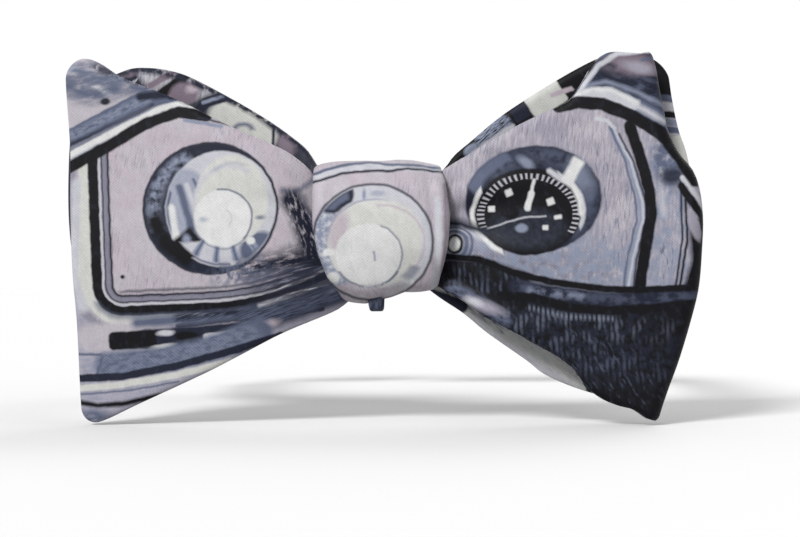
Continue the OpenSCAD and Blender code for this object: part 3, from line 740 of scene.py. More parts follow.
def back_loop_print():
    c = Cloth("print_back_loop")
    c.ground(PALE, MAUVE, 0.8)
    c.draw(c.above(-43, 24, 200), NAVY, soft=1, strength=0.9)
    c.draw(c.above(-44, 24, 122), NAVY, soft=1.2,
           weave=c.step(c.noise(1.3, (2, 0.6), 55, 2, 0.1), 0.3, 0.5))
    c.spot(-50.4, 32, 2.2, 1.4, MAUVE, angle=12, soft=0.6)
    c.line([(-46.6, 32), (-42, 34)], 1.2, STEEL, soft=0.5)
    c.line([(-46, 29), (-41.5, 31.6)], 1.2, MAUVE, soft=0.4)
    c.line([(-44.6, 26.6), (-40.6, 29.6), (-38, 32.4)], 2.2, INK)
    c.spot(-39.4, 27.4, 3, 2.4, MAUVE, angle=20, soft=0.8)
    c.spot(-37.4, 28.6, 1.6, 1, PINK, angle=20, soft=0.8)
    c.spot(-27.6, 21, 7.4, 4.6, CREAM, angle=-26, soft=0.8)
    c.line([(-38, 22.6), (-35, 25.6), (-31, 26.8), (-28, 26.4)], 2.0, NAVY)
    c.line([(-35.6, 25.6), (-31.5, 26.9)], 0.7, BLUE)
    c.draw(c.both(c.rim(c.oval(-27.6, 19.6, 2, 1.7), 0.7), c.above(-28, 20, 4)), STEEL, soft=0.8)
    c.line([(-33, 20), (-29.6, 18.8)], 0.7, MAUVE, soft=0.8)
    c.line([(-21.4, 21.5), (-21.6, 16)], 0.6, NAVY)
    c.spot(-18.6, 17, 2, 2.6, MAUVE, soft=0.6)
    c.spot(-15.4, 15, 2.2, 2.8, NAVY, angle=30, soft=0.8, weave=c.noise(0.8, seed=0.5))
    c.line([(-55, 30), (-50, 32), (-46, 32), (-40, 30.8), (-33, 27.6), (-26, 24), (-20, 19.8), (-14,
           15.6)], 1.5, NAVY, soft=0.9, weave=c.step(c.noise(1.6, detail=4, seed=0.5), 0.25, 0.55))
    c.line([(-63, 24), (-63.4, 10), (-63, -12)], 3.4, NAVY, soft=0.6,
           weave=c.step(c.noise(2.2, (0.6, 1), 0, 1, 0.2), 0.35, 0.5))
    return c.finish()


def back_tail_print():
    c = Cloth("print_back_tail")
    c.ground(PALE, LILAC, 0.5)
    c.line([(10, 8), (30, 24), (50, 38)], 14, INK, soft=0.8)
    c.spot(17.6, 16.4, 1.6, 0.8, BLUE, angle=40)
    c.spot(22.2, 19.8, 4.2, 2.8, BLUE, angle=42, soft=0.5,
           weave=c.step(c.noise(0.5, (3, 0.5), 42, 1, 0.6), 0.3, 0.6))
    c.line([(18, 15.6), (26, 21)], 1.0, PALE, soft=0.5)
    c.bar(27.2, 24.4, 3.4, 4.6, NAVY, angle=32, corner=0.4)
    c.bar(32.6, 26.6, 7.6, 5.4, CREAM, angle=33, corner=0.4)
    c.line([(34, 27.2), (38, 28.6)], 1.0, PINK)
    c.bar(41, 32.8, 9, 5.6, INK, angle=28, corner=0.5, weave=c.step(c.noise(1.2, seed=0.9), 0.25, 0.4))
    # right edge
    c.bar(57.5, 31, 6, 9, INK, angle=0, corner=0.5)
    for z, ink in ((26.4, STEEL), (24.8, PALE), (23.2, INK), (21.7, BLUE), (20.2, STEEL)):
        c.bar(58, z, 6, 1.3, ink, angle=-6, corner=0.2)
    c.bar(60, 16.4, 5, 5.6, CREAM, angle=16, corner=0.5)
    c.line([(57, 14), (60, 12.6), (63, 9)], 1.5, NAVY)
    c.bar(61.5, -4, 5, 22, NAVY, angle=0, corner=0.5, soft=0.6,
          weave=c.step(c.noise(2.0, (0.7, 1), 0, 1, 0.8), 0.35, 0.5))
    # foot: a pale band of print, its white stroke brighter than the print itself, as painted light against
    # the shade on this downturned part
    streak = c.step(c.noise(0.9, (3.2, 0.4), -40, 4, 0.5), 0.42, 0.66)
    c.line([(10, -11), (28, -24), (40, -32)], 10, WHITE, soft=1)
    c.line([(14, -15.4), (28, -24.8), (38, -31.4)], 1.2, PALE, soft=1.2)
    c.line([(14, -14), (28, -23.6), (38, -29.6)], 6, BLUE, soft=1, strength=0.25, weave=streak)
    c.line([(13, -12), (24, -19.6)], 1.4, STEEL, soft=1, weave=streak)
    c.line([(10, -13), (15.5, -15)], 3, NAVY, soft=0.6)
    c.line([(40.2, -27), (42, -34)], 1.2, NAVY)
    c.line([(41.6, -27), (43.6, -34)], 0.8, WHITE)
    c.bar(50, -31, 15, 12, INK, angle=-14, corner=0.5)
    return c.finish()


# ---------------------------------------------------------------- other materials

def plain_weave(name, ink, other, pitch, roughness):
    """A matt woven cloth: crossing threads in colour and height."""
    c = Cloth(name)
    c.ground(ink, other, 0.2)
    height = None
    for angle in (0, 90):
        threads = c.node("TexWave")
        threads.inputs["Scale"].default_value = 1
        threads.inputs["Distortion"].default_value = 1.2
        size = pitch / WAVE_PITCH
        c.put(threads.inputs["Vector"], c.texture_place(0, 0, angle, (size, size)))
        found = threads.outputs["Fac"]
        height = found if height is None else c.math("MULTIPLY", height, found)
    c.mix(c.math("MULTIPLY", height, 0.35), other)
    c.put(c.shader.inputs["Base Color"], c.ink)
    c.put(c.shader.inputs["Roughness"], c.math("MULTIPLY_ADD", height, 0.15, roughness))
    bump = c.node("Bump")
    bump.inputs["Strength"].default_value = 0.6
    bump.inputs["Distance"].default_value = 0.0001
    c.put(bump.inputs["Height"], height)
    c.put(c.shader.inputs["Normal"], bump.outputs[0])
    c.shader.inputs["Sheen Weight"].default_value = 0.2
    return c.material


def own_point(c):
    """Draws in the piece's own coordinates, in mm, in place of the print's."""
    coordinates = c.node("TexCoord")
    c.flat = c.scaled(coordinates.outputs["Object"], 1 / MM)


def nickel():
    """Polished plate, with fine brushing, dull patches and hairline scratches."""
    c = Cloth("nickel")
    own_point(c)
    c.shader.inputs["Metallic"].default_value = 1
    brushed = c.noise(0.12, (8, 1), 90, 3)
    cloud = c.noise(2.4, detail=3, seed=0.4)
    scratch = c.step(c.noise(0.5, (9, 0.35), 24, 2, 0.8), 0.68, 0.72)
    c.ink = c.node("RGB").outputs[0]
    c.ink.default_value = (0.62, 0.6, 0.57, 1)
    c.mix(c.step(cloud, 0.45, 0.75), (0.5, 0.48, 0.45, 1))
    c.put(c.shader.inputs["Base Color"], c.ink)
    rough = c.math("MULTIPLY_ADD", brushed, 0.12, 0.12)
    rough = c.math("ADD", rough, c.math("MULTIPLY", cloud, 0.14))
    c.put(c.shader.inputs["Roughness"], c.math("MULTIPLY_ADD", scratch, 0.15, rough))
    bump = c.node("Bump")
    bump.inputs["Strength"].default_value = 0.15
    bump.inputs["Distance"].default_value = 0.00002
    c.put(bump.inputs["Height"], c.math("SUBTRACT", brushed, scratch))
    c.put(c.shader.inputs["Normal"], bump.outputs[0])
    return c.material


def thread(name, ink):
    c = Cloth(name)
    own_point(c)
    twist = c.node("TexWave")
    twist.inputs["Scale"].default_value = 1.0
    c.put(twist.inputs["Vector"], c.texture_place(0, 0, 35, (0.9, 0.9)))
    c.ink = c.node("RGB").outputs[0]
    c.ink.default_value = ink
    c.mix(c.math("MULTIPLY", twist.outputs["Fac"], 0.4), PALE)
    c.put(c.shader.inputs["Base Color"], c.ink)
    c.put(c.shader.inputs["Roughness"], c.math("MULTIPLY_ADD", twist.outputs["Fac"], 0.2, 0.5))
    c.shader.inputs["Sheen Weight"].default_value = 0.3
    return c.material


# ---------------------------------------------------------------- meshes

def spline(points, at):
    """Points of a smooth curve through points, at shares of its length."""
    p = np.array(points, float)
    p = np.vstack([2 * p[0] - p[1], p, 2 * p[-1] - p[-2]])
    fine = []
    for k in range(1, len(p) - 2):
        for t in np.linspace(0, 1, 24, endpoint=k == len(p) - 3):
            a, b, c, d = p[k - 1:k + 3]
            fine.append(0.5 * (2 * b + (c - a) * t + (2 * a - 5 * b + 4 * c - d) * t * t
                               + (3 * b - a - 3 * c + d) * t ** 3))
    fine = np.array(fine)
    run = np.concatenate([[0], np.cumsum(np.linalg.norm(np.diff(fine, axis=0), axis=1))])
    return np.stack([np.interp(np.asarray(at) * run[-1], run, fine[:, k])
                     for k in range(fine.shape[1])], axis=-1)


def eased(n):
    """n + 1 shares from 0 to 1, closer together at both ends."""
    return 0.5 - 0.5 * np.cos(np.pi * np.arange(n + 1) / n)


def smooth(x):
    x = np.clip(x, 0, 1)
    return x * x * (3 - 2 * x)


def normals(grid, wrap=False):
    """Unit normals of a grid of points."""
    if wrap:
        rows = np.roll(grid, -1, 0) - np.roll(grid, 1, 0)
    else:
        rows = np.gradient(grid, axis=0)
    n = np.cross(rows, np.gradient(grid, axis=1))
    return n / np.maximum(np.linalg.norm(n, axis=-1, keepdims=True), 1e-9)


def add_mesh(name, points, faces, uv=None):
    mesh = bpy.data.meshes.new(name)
    mesh.from_pydata((np.asarray(points) * MM).tolist(), [], faces)
    if uv is not None:
        layer = mesh.uv_layers.new(name=UV)
        corner = np.zeros(len(mesh.loops), np.int32)
        mesh.loops.foreach_get("vertex_index", corner)
        layer.data.foreach_set("uv", np.asarray(uv, np.float32)[corner].ravel())
    mesh.shade_smooth()
    piece = bpy.data.objects.new(name, mesh)
    bpy.context.collection.objects.link(piece)
    return piece


def shell(name, outer, inner, uv, wrap=False):
    """A closed thin sheet between two grids of points; wrap joins its last row to its first."""
    nr, nc = outer.shape[:2]
    count = nr * nc
    index = np.arange(count).reshape(nr, nc)
    down = np.roll(index, -1, 0) if wrap else index[1:]
    up = index if wrap else index[:-1]
    quads = np.stack([up[:, :-1], down[:, :-1], down[:, 1:], up[:, 1:]], -1).reshape(-1, 4)
    sides = [np.stack([up[:, 0], up[:, 0] + count, down[:, 0] + count, down[:, 0]], -1),
             np.stack([up[:, -1], down[:, -1], down[:, -1] + count, up[:, -1] + count], -1)]
    if not wrap:
        sides += [np.stack([index[0, :-1], index[0, 1:], index[0, 1:] + count, index[0, :-1] + count], -1),
                  np.stack([index[-1, :-1], index[-1, :-1] + count, index[-1, 1:] + count,
                            index[-1, 1:]], -1)]
    faces = np.concatenate([quads, quads[:, ::-1] + count, *[s.reshape(-1, 4) for s in sides]])
    points = np.concatenate([outer.reshape(-1, 3), inner.reshape(-1, 3)])
    return add_mesh(name, points, faces.tolist(), np.concatenate([uv.reshape(-1, 2)] * 2))


def sweep(path, section, closed=False, up=(0, 0, 1)):
    """Points and faces of section, a loop of (across, up) points, carried along path."""
    path = np.asarray(path, float)
    if closed:
        tangent = np.roll(path, -1, 0) - np.roll(path, 1, 0)
    else:
        tangent = np.gradient(path, axis=0)
    tangent /= np.linalg.norm(tangent, axis=1, keepdims=True)
    high = np.array(up, float) - tangent * (tangent @ np.array(up, float))[:, None]
    high /= np.linalg.norm(high, axis=1, keepdims=True)
    side = np.cross(tangent, high)
    points = (path[:, None] + side[:, None] * section[None, :, :1] + high[:, None] * section[None, :, 1:])
    n, m = len(path), len(section)
    faces = []
    for i in range(n if closed else n - 1):
        for j in range(m):
            a, b = i * m + j, i * m + (j + 1) % m
            c, d = ((i + 1) % n) * m + (j + 1) % m, ((i + 1) % n) * m + j
            faces.append((a, b, c, d))
    if not closed:
        faces += [tuple(range(m))[::-1], tuple((n - 1) * m + k for k in range(m))]
    return points.reshape(-1, 3), faces


def merged(name, parts):
    """One mesh from several (points, faces)."""
    points, faces, start = [], [], 0
    for p, f in parts:
        points.append(p)
        faces += [tuple(i + start for i in face) for face in f]
        start += len(p)
    return add_mesh(name, np.concatenate(points), faces)


def round_section(r, sides=14):
    a = np.linspace(0, 2 * np.pi, sides, endpoint=False)
    return np.stack([r * np.cos(a), r * np.sin(a)], 1)


def plate_section(w, h, r, steps=4):
    """A rounded rectangle, w across and h up."""
    points = []
    for k, (sx, sz) in enumerate(((1, 1), (-1, 1), (-1, -1), (1, -1))):
        for t in np.linspace(k * np.pi / 2, (k + 1) * np.pi / 2, steps):
            points.append((sx * (w / 2 - r) + r * np.cos(t), sz * (h / 2 - r) + r * np.sin(t)))
    return np.array(points)


def rounded_path(corners, r, closed=False, steps=8):
    """Points along corners, with each bend rounded to radius r."""
    p = np.array(corners, float)
    out = [] if closed else [p[0]]
    order = range(len(p)) if closed else range(1, len(p) - 1)
    for i in order:
        before, here, after = p[i - 1], p[i], p[(i + 1) % len(p)]
        a, b = before - here, after - here
        la, lb = np.linalg.norm(a), np.linalg.norm(b)
        a, b = a / la, b / lb
        half = math.acos(np.clip(a @ b, -1, 1)) / 2
        cut = min(r / math.tan(half), 0.49 * la, 0.49 * lb)
        start, end = here + a * cut, here + b * cut
        for t in np.linspace(0, 1, steps):
            out.append((1 - t) ** 2 * start + 2 * t * (1 - t) * here + t * t * end)
    if not closed:
        out.append(p[-1])
    return np.array(out)


# ---------------------------------------------------------------- bow

HALF = 0.85        # middle of a blade to its face
PLY = 0.25         # one layer of silk
SEAM = 1.4         # how far in from a sewn edge the blade reaches its full thickness
INLAY = 1.8        # the interlining stops this far from the edges
TAIL_CORNER = 3.6
FOLD = 2.0         # radius of a loop's fold at the middle of its blade

# Edges seen from the front, x and z from the knot's middle, each running from the knot outward or upward
FRONT_TAIL = dict(
    top=[(-6, 7.5), (-10.5, 8.6), (-13.6, 11), (-15.1, 12.8), (-19.2, 15.8), (-25.7, 18.7), (-32.2, 21.7),
         (-39.3, 25.4), (-46.8, 28.5), (-51.3, 30.3), (-55.3, 32.9), (-58.2, 33.9), (-62.2, 33.6)],
    bottom=[(-5, -12.5), (-8.2, -15.2), (-11.1, -16.6), (-19.6, -20.1), (-28.2, -24.6), (-35.2, -28.2),
            (-48.3, -34.3), (-53.9, -37), (-58.8, -38.8)],
    outer=[(-58.8, -38.8), (-59.4, -32.7), (-60, -17.7), (-60.8, -7.7), (-61.2, 5), (-61.2, 14), (-61.5, 20),
           (-62.1, 28), (-62.2, 33.6)])
FRONT_LOOP = dict(
    top=[(8, 9), (12.5, 12.2), (17.4, 15.2), (23.7, 19), (29.2, 21.9), (32.6, 23.4), (37, 25.6),
         (40.3, 29.6),
         (42.7, 32.9), (45, 34.9), (47.6, 35.6), (53, 35.4)],
    bottom=[(8, -8.5), (11.4, -11), (16.2, -13.8), (20.2, -16.8), (28.2, -21.1), (36.7, -26.1),
            (40.7, -30.6),
            (44.7, -33.4), (48.3, -34.9), (51.6, -35.8), (54.4, -37.6)],
    outer=[(54.4, -37.6), (55.4, -34.4), (56.6, -30.9), (58.5, -25.6), (60.5, -18.7), (62.2, -11.4),
           (62.8, -3.9),
           (63, 2.4), (62.4, 8), (61, 12), (58.3, 15.4), (56.3, 19.7), (55.5, 23.7), (54.6, 28.2),
           (54, 31.8), (53, 35.4)])
BACK_LOOP = dict(
    top=[(-6, 7.5), (-12.5, 12.6), (-15.1, 16.3), (-20.2, 20.4), (-25.1, 23.6), (-31.2, 27.1), (-38.7, 31.1),
         (-43, 32.7), (-47.2, 33.6), (-51.4, 33.8), (-55.4, 32.6)],
    bottom=[(-5, -10), (-11, -14), (-19.6, -18.2), (-28.2, -22.6), (-35.2, -26.2), (-46, -31.4),
            (-54, -33.6)],
    outer=[(-54, -33.6), (-57, -26), (-60, -14), (-62.2, -2), (-62.6, 10), (-61.8, 22), (-59, 28),
           (-55.4, 32.6)])
BACK_TAIL = dict(
    top=[(8, 8), (12.5, 12.6), (14.5, 15.2), (17.8, 18), (24.3, 23.4), (33.1, 29.1), (38.9, 32.5),
         (43.4, 34.7),
         (46.8, 35.5), (51, 35.4), (56.6, 34.4)],
    bottom=[(8, -10.5), (11.5, -13.2), (16.5, -16.5), (20.6, -19.9), (24.5, -22.7), (29.1, -25.9),
            (32.6, -28.6),
            (38.5, -31.2), (46, -33.4), (54, -35)],
    outer=[(54, -35), (55.6, -30), (58, -21), (60.6, -10), (62, 0), (62.3, 9.5), (61.4, 13), (60.6, 16.4),
           (59.2, 20.5), (58, 26.4), (57.4, 30.6), (56.6, 34.4)])


def patch(edges, u, v, corner=0.0):
    """Points x, z of a blade's outline filled in, at shares u out from the knot and v up."""
    a, b = np.array(edges["bottom"][0], float), np.array(edges["top"][0], float)
    c, d = np.array(edges["outer"][0], float), np.array(edges["outer"][-1], float)
    uu, vv = np.meshgrid(u, v, indexing="ij")
    if corner:
        length = np.linalg.norm(c - a)
        height = np.linalg.norm(d - c)
        near = np.clip(corner - (1 - uu) * length, 0, corner)
        inset = (corner - np.sqrt(corner ** 2 - near ** 2)) / height
        vv = inset + vv * (1 - 2 * inset)
    top, bottom = spline(edges["top"], uu), spline(edges["bottom"], uu)
    inner = a + (b - a) * vv[:, :, None]
    outer = spline(edges["outer"], vv)
    mixed = (1 - vv)[:, :, None] * bottom + vv[:, :, None] * top
    mixed += (1 - uu)[:, :, None] * inner + uu[:, :, None] * outer
    ends = ((1 - uu) * (1 - vv))[:, :, None] * a + ((1 - uu) * vv)[:, :, None] * b
    ends += (uu * (1 - vv))[:, :, None] * c + (uu * vv)[:, :, None] * d
    return mixed - ends, uu, vv


def relief(u, v, start, rest, belly, pucker, folds, phase, lean):
    """How far back the blade lies: gathered at the knot, swelling out of it, then nearly flat."""
    y = start + (rest - start) * smooth(u / 0.34)
    swell = np.sin(np.pi * np.clip(v, 0, 1)) ** 0.8
    y = y - belly * swell * smooth(u / 0.3) * (1 - 0.75 * smooth((u - 0.3) / 0.7))
    fade = np.exp(-((u / 0.34) ** 2)) * smooth((u + 0.1) / 0.2)
    lines = np.cos(2 * np.pi * (folds * v + phase) + 1.1 * u) + 0.4 * np.cos(2 * np.pi
                                                                             * (2.3 * folds * v - phase))
    y = y + pucker * fade * lines * (0.35 + 0.65 * swell)
    y = y + 0.35 * np.sin(5.1 * u + 3.3 * v + 7 * phase) * u + 0.22 * np.sin(9.7 * u * v + 11 * phase)
    return y + lean * (u ** 2) * (v - 0.5) + 0.9 * u ** 3 * np.cos(2 * np.pi * (v - 0.04))


def edge_distance(grid, sides_only):
    """How far each point of a blade is from its sewn edges."""
    up = np.concatenate([np.zeros((grid.shape[0], 1)),
                         np.cumsum(np.linalg.norm(np.diff(grid, axis=1), axis=2), axis=1)], axis=1)
    found = np.minimum(up, up[:, -1:] - up)
    if not sides_only:
        out = np.concatenate([np.zeros((1, grid.shape[1])),
                              np.cumsum(np.linalg.norm(np.diff(grid, axis=0), axis=2), axis=0)])
        found = np.minimum(found, out[-1:] - out)
    return found


def rounded(distance, width, height):
    near = 1 - np.clip(distance / width, 0, 1)
    return height * np.sqrt(1 - near ** 2)


def blade_plies(name, grid, uv, sides_only, outward, materials, rear_from=None):
    """The face, interlining and lining of a blade round its middle surface."""
    n = normals(grid)
    if (n[len(n) // 4, n.shape[1] // 2] @ np.array(outward, float)) < 0:
        n = -n
    depth = 0.07 + rounded(edge_distance(grid, sides_only), SEAM, HALF - 0.07)
    pieces = []
    for part, side in (("face", 1), ("lining", -1)):
        outer = grid + side * n * depth[:, :, None]
        inner = grid + side * n * (depth * (1 - PLY / HALF))[:, :, None]
        piece = shell(f"{name}_{part}", outer, inner, uv)
        pieces.append(piece)
    ru = np.linspace(0, 1, 44 if rear_from else 26)
    rv = np.linspace(0, 1, 26)
    canvas = []
    for side in (1, -1):
        canvas.append(inlay(grid, n, ru, rv, sides_only, side * 0.36))
    canvas_uv = canvas[0][:, :, [0, 2]]
    pieces.append(shell(f"{name}_interlining", canvas[0], canvas[1], canvas_uv))
    face, lining, middle = pieces
    face.data.materials.append(materials[0])
    lining.data.materials.append(materials[1])
    middle.data.materials.append(CANVAS)
    if rear_from is not None:
        face.data.materials.append(materials[1])
        turned = np.zeros(len(face.data.polygons), np.int32)
        rows = np.zeros(len(face.data.loops), np.int32)
        face.data.loops.foreach_get("vertex_index", rows)
        first = rows[np.array([p.loop_start for p in face.data.polygons])] % grid[:, :, 0].size
        turned[first // grid.shape[1] >= rear_from] = 1
        face.data.polygons.foreach_set("material_index", turned)
    for piece, part in zip(pieces, ("face", "lining", "interlining")):
        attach(piece, BOW)
        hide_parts(f"{name}_{part}")
    return pieces


def inlay(grid, n, ru, rv, sides_only, offset):
    """The same surface drawn in from its sewn edges, at other shares, and moved along its normals."""
    nr, nc = grid.shape[:2]
    height = np.linalg.norm(np.diff(grid, axis=1), axis=2).sum(axis=1)
    length = np.linalg.norm(np.diff(grid[:, nc // 2], axis=0), axis=1)
    run_u = np.concatenate([[0], np.cumsum(length)])
    reach = run_u[-1] - (0 if sides_only else INLAY + TAIL_CORNER / 2)
    out = np.zeros((len(ru), len(rv), 3))
    for i, share in enumerate(ru):
        row = np.interp(share * reach, run_u, np.arange(nr))
        k = min(int(row), nr - 2)
        f = row - k
        line = grid[k] * (1 - f) + grid[k + 1] * f
        line_n = n[k] * (1 - f) + n[k + 1] * f
        tall = height[k] * (1 - f) + height[k + 1] * f
        across = np.concatenate([[0], np.cumsum(np.linalg.norm(np.diff(line, axis=0), axis=1))])
        at = INLAY + rv * (tall - 2 * INLAY)
        for axis in range(3):
            out[i, :, axis] = np.interp(at, across, line[:, axis]) + offset * np.interp(at, across,
                                                                                        line_n[:, axis])
    return out


def add_tail(name, edges, shape, materials):
    v = eased(64)
    u = np.sin(np.pi / 2 * np.linspace(0, 1, 63))
    xz, uu, vv = patch(edges, u, v, TAIL_CORNER)
    y = relief(uu, vv, **shape)
    grid = np.stack([xz[:, :, 0], y, xz[:, :, 1]], -1)
    for piece in blade_plies(name, grid, xz, False, (0, -1, 0), materials):
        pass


def add_loop(name, edges, shape, gap, materials):
    """A blade folded over: a front layer, the fold at its outer end, and a rear layer back to the knot."""
    v = eased(64)
    u = np.sin(np.pi / 2 * np.linspace(0, 1, 60))
    xz, uu, vv = patch(edges, u, v)
    y = relief(uu, vv, **shape)
    front = np.stack([xz[:, :, 0], y, xz[:, :, 1]], -1)
    side = np.sign(xz[-1, 32, 0])
    away = gap[0] + (gap[1] - gap[0]) * smooth(uu / 0.4)
    away = away + (2 * FOLD - gap[1]) * smooth((uu - 0.7) / 0.3)
    # the ends of the fold are pressed flatter than its middle
    away = away * (0.72 + 0.28 * np.sin(np.pi * vv) ** 0.5)
    rear = front + np.stack([0 * away, away, 0 * away], -1)
    along = np.gradient(front[-1], axis=0)
    out = np.stack([along[:, 2], 0 * along[:, 0], -along[:, 0]], -1)
    out *= side * np.sign(out[32, 0]) / np.linalg.norm(out, axis=1, keepdims=True)
    radius = away[-1][:, None] / 2
    middle = (front[-1] + rear[-1]) / 2
    # the outline is where the fold's own face ends
    pull = out * (radius + HALF)
    drawn_in = pull[None] * smooth((uu - 0.55) / 0.45)[:, :, None]
    front = front - drawn_in
    rear = rear - drawn_in
    middle = middle - pull
    turns = np.linspace(0, np.pi, 13)[1:-1]
    fold = np.array([middle + radius * (np.sin(t) * out - np.cos(t) * np.array([0, 1.0, 0])) for t in turns])
    grid = np.concatenate([front, fold, rear[::-1]])
    step = np.concatenate([np.zeros((1, len(v))), np.cumsum(np.linalg.norm(np.diff(grid, axis=0),
                                                                           axis=2), axis=0)])
    uv = grid[:, :, [0, 2]].copy()
    turn = len(front) - 1
    uv[turn:, :, 0] = front[-1, :, 0] + side * (step[turn:] - step[turn])
    for piece in blade_plies(name, grid, uv, True, (0, -1, 0), materials, len(front) + len(turns)):
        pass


def add_bow():
    rear = reverse_print("print_rear", 0.3)
    inside = reverse_print("print_inside", 0.7)
    add_tail("front_tail", FRONT_TAIL, dict(start=-70.4, rest=-71.9, belly=1.6, pucker=0.75, folds=2.6,
                                            phase=0.15,
                                            lean=-1.0),
             (front_tail_print(), inside))
    add_loop("front_loop", FRONT_LOOP, dict(start=-71.2, rest=-74.4, belly=0.9, pucker=0.8, folds=2.4,
                                            phase=0.62,
                                            lean=-0.6), (1.9, 3.2),
             (front_loop_print(), rear))
    add_loop("back_loop", BACK_LOOP, dict(start=-68.2, rest=-67, belly=0.2, pucker=0.5, folds=2.2,
                                          phase=0.33,
                                          lean=0.4), (1.8, 3.0),
             (back_loop_print(), rear))
    add_tail("back_tail", BACK_TAIL, dict(start=-66.8, rest=-65.2, belly=-0.4, pucker=0.5, folds=2.4,
                                          phase=0.8,
                                          lean=0.5),
             (back_tail_print(), rear))


# ---------------------------------------------------------------- knot

KNOT_Y, KNOT_DEEP = -69.6, 9.4
KNOT_LEFT = ([-16, -13.9, -12.5, -9.5, -5, 0, 8, 13, 16],
             [-7.4, -7.8, -8.9, -10.7, -12.4, -13.4, -13.6, -13.4, -13])
KNOT_RIGHT = ([-16, -12, -8.3, -3.5, 3.6, 10.8, 14, 16], [10.8, 11.4, 12.2, 13, 13.4, 12.5, 11.6, 11])
KNOT_TOP = ([-13.5, -9, -3, 3, 6, 9, 13], [13.2, 13.8, 14.3, 14.2, 13.8, 13.3, 12.9])
KNOT_FOOT = ([-13, -7, -3.2, 1.9, 4.6, 8, 12], [13.5, 13.9, 14, 13, 11.9, 12, 11.6])
KNOT_ROLL = 2.4
KNOT_OVER = 27.8                # twice the height where the print turns over the top
# each ply with its outer and inner depth under the face and how far across it reaches
KNOT_PLIES = (("face", 0, 0.35, 1), ("interlining", 0.42, 0.9, 0.93), ("lining", 0.98, 1.3, 0.985))


def knot_surface(across, around, inset):
    """The wrap's surface, inset mm inside its face; across runs -1 to 1, around a full turn."""
    a, t = np.meshgrid(across, around, indexing="xy")
    a = np.broadcast_to(a, (len(around), len(across)))
    power = 2 / 2.5
    cy, sz = -np.cos(t), np.sin(t)
    ny = np.sign(cy) * np.abs(cy) ** power
    nz = np.sign(sz) * np.abs(sz) ** power
    guide = 13.9 * nz
    left, right = np.interp(guide, *KNOT_LEFT), np.interp(guide, *KNOT_RIGHT)
    x = (left + right) / 2 + a * (right - left) / 2
    top, foot = np.interp(x, *KNOT_TOP), np.interp(x, *KNOT_FOOT)
    tall = np.where(nz > 0, top, foot)
    # the edges roll in toward the waist
    wide = (right - left) / 2
    near = np.clip((np.abs(a) * wide - (wide - KNOT_ROLL)) / KNOT_ROLL, 0, 1)
    roll = KNOT_ROLL * 0.9 * (1 - np.sqrt(np.maximum(1 - near ** 2.2, 0)))
    soft = 0.25 * np.sin(3 * t + 1.3 * a) * np.cos(2.1 * a) + 0.18 * np.cos(7 * t + 2 * a)
    crease = 0.5 * np.exp(-((x - 10.2 + 1.1 * nz) / 0.9) ** 2) * (ny < 0)
    waves = 0.28 * np.cos(5.5 * a + 0.8 * np.sin(2 * t)) * np.abs(nz) ** 3
    deep = inset + roll + crease + waves * 0.6 - soft
    y = KNOT_Y + (KNOT_DEEP - deep) * ny
    z = (tall - (deep - roll) * 0.9 - roll * 0.3) * nz
    return np.stack([x, y, z], -1), t


def add_knot():
    silk = knot_print()
    rear = reverse_print("print_wrap_lining", 0.5)
    across = np.sin(np.pi / 2 * np.linspace(-1, 1, 61))
    around = np.linspace(0, 2 * np.pi, 132, endpoint=False)
    for part, outer, inner, shrink in KNOT_PLIES:
        a, t = knot_surface(across * shrink, around, outer)
        b, _ = knot_surface(across * shrink, around, inner)
        uv = a[:, :, [0, 2]].copy()
        # the print runs on over the top and under the foot
        z = uv[:, :, 1]
        uv[:, :, 1] = np.where(np.cos(t) < 0, np.sign(z + 1e-6) * (KNOT_OVER - np.abs(z)), z)
        piece = shell(f"knot_wrap_{part}", a, b, uv, wrap=True)
        piece.data.materials.append({"face": silk, "interlining": CANVAS, "lining": rear}[part])
        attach(piece, BOW)
        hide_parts(f"knot_wrap_{part}")


def add_waists():
    """The blades' gathered middles, inside the knot; the front one's edge shows under the knot as a fold
    painted dark navy all over, as painted shade in the tuck.
    """
    silk = reverse_print("print_waist", 0.9)
    # the fold tucked under the knot is painted dark navy all over: painted shade in the tuck
    tuck_shade = Cloth("waist_fold_painted_shade")
    tuck_shade.ground(NAVY, STEEL, 0.2)
    shade = tuck_shade.finish()
    for name in ("front_waist", "back_waist"):
        low, high = box_mm(name)
        middle, half = (low + high) / 2, (high - low) / 2
        x = np.linspace(-8.4, 9.4, 37)
        t = np.linspace(0, 2 * np.pi, 120, endpoint=False)
        xx, tt = np.meshgrid(x, t)
        pleat = 1 - 0.09 * (0.5 + 0.5 * np.cos(17 * tt + 0.6 * np.sin(2 * xx / 7)))
        y = middle[1] + half[1] * 0.96 * pleat * np.cos(tt)
        z = middle[2] + half[2] * 0.94 * pleat * np.sin(tt)
        grid = np.stack([xx, y, z], -1)
        centre = np.stack([xx, 0 * y + middle[1], 0 * z + middle[2]], -1)
        inner = centre + (grid - centre) * 0.9
        piece = shell(name, grid, inner, grid[:, :, [0, 2]], wrap=True)
        piece.data.materials.append(silk)
        if name == "front_waist":
            pucker = [(-1.4, -72.4, -11.6), (-1.3, -72.7, -13.6), (-1.1, -72.4, -14.9), (-1, -71.6, -15.3),
                      (-0.9, -70.8, -14.8), (-0.8, -70.6, -12)]
            points, faces = sweep(spline(pucker, np.linspace(0, 1, 24)), plate_section(1.1, 2.8, 0.54),
                                  up=(1, 0, 0))
            extra = add_mesh("pucker", points, faces, points[:, [0, 2]] * 1.7)
            # the pucker under the knot takes the painted shade
            extra.data.materials.append(shade)
            with bpy.context.temp_override(active_object=piece, selected_editable_objects=[piece, extra]):
                bpy.ops.object.join()
        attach(piece, BOW)
        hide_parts(name)


# ---------------------------------------------------------------- neck band

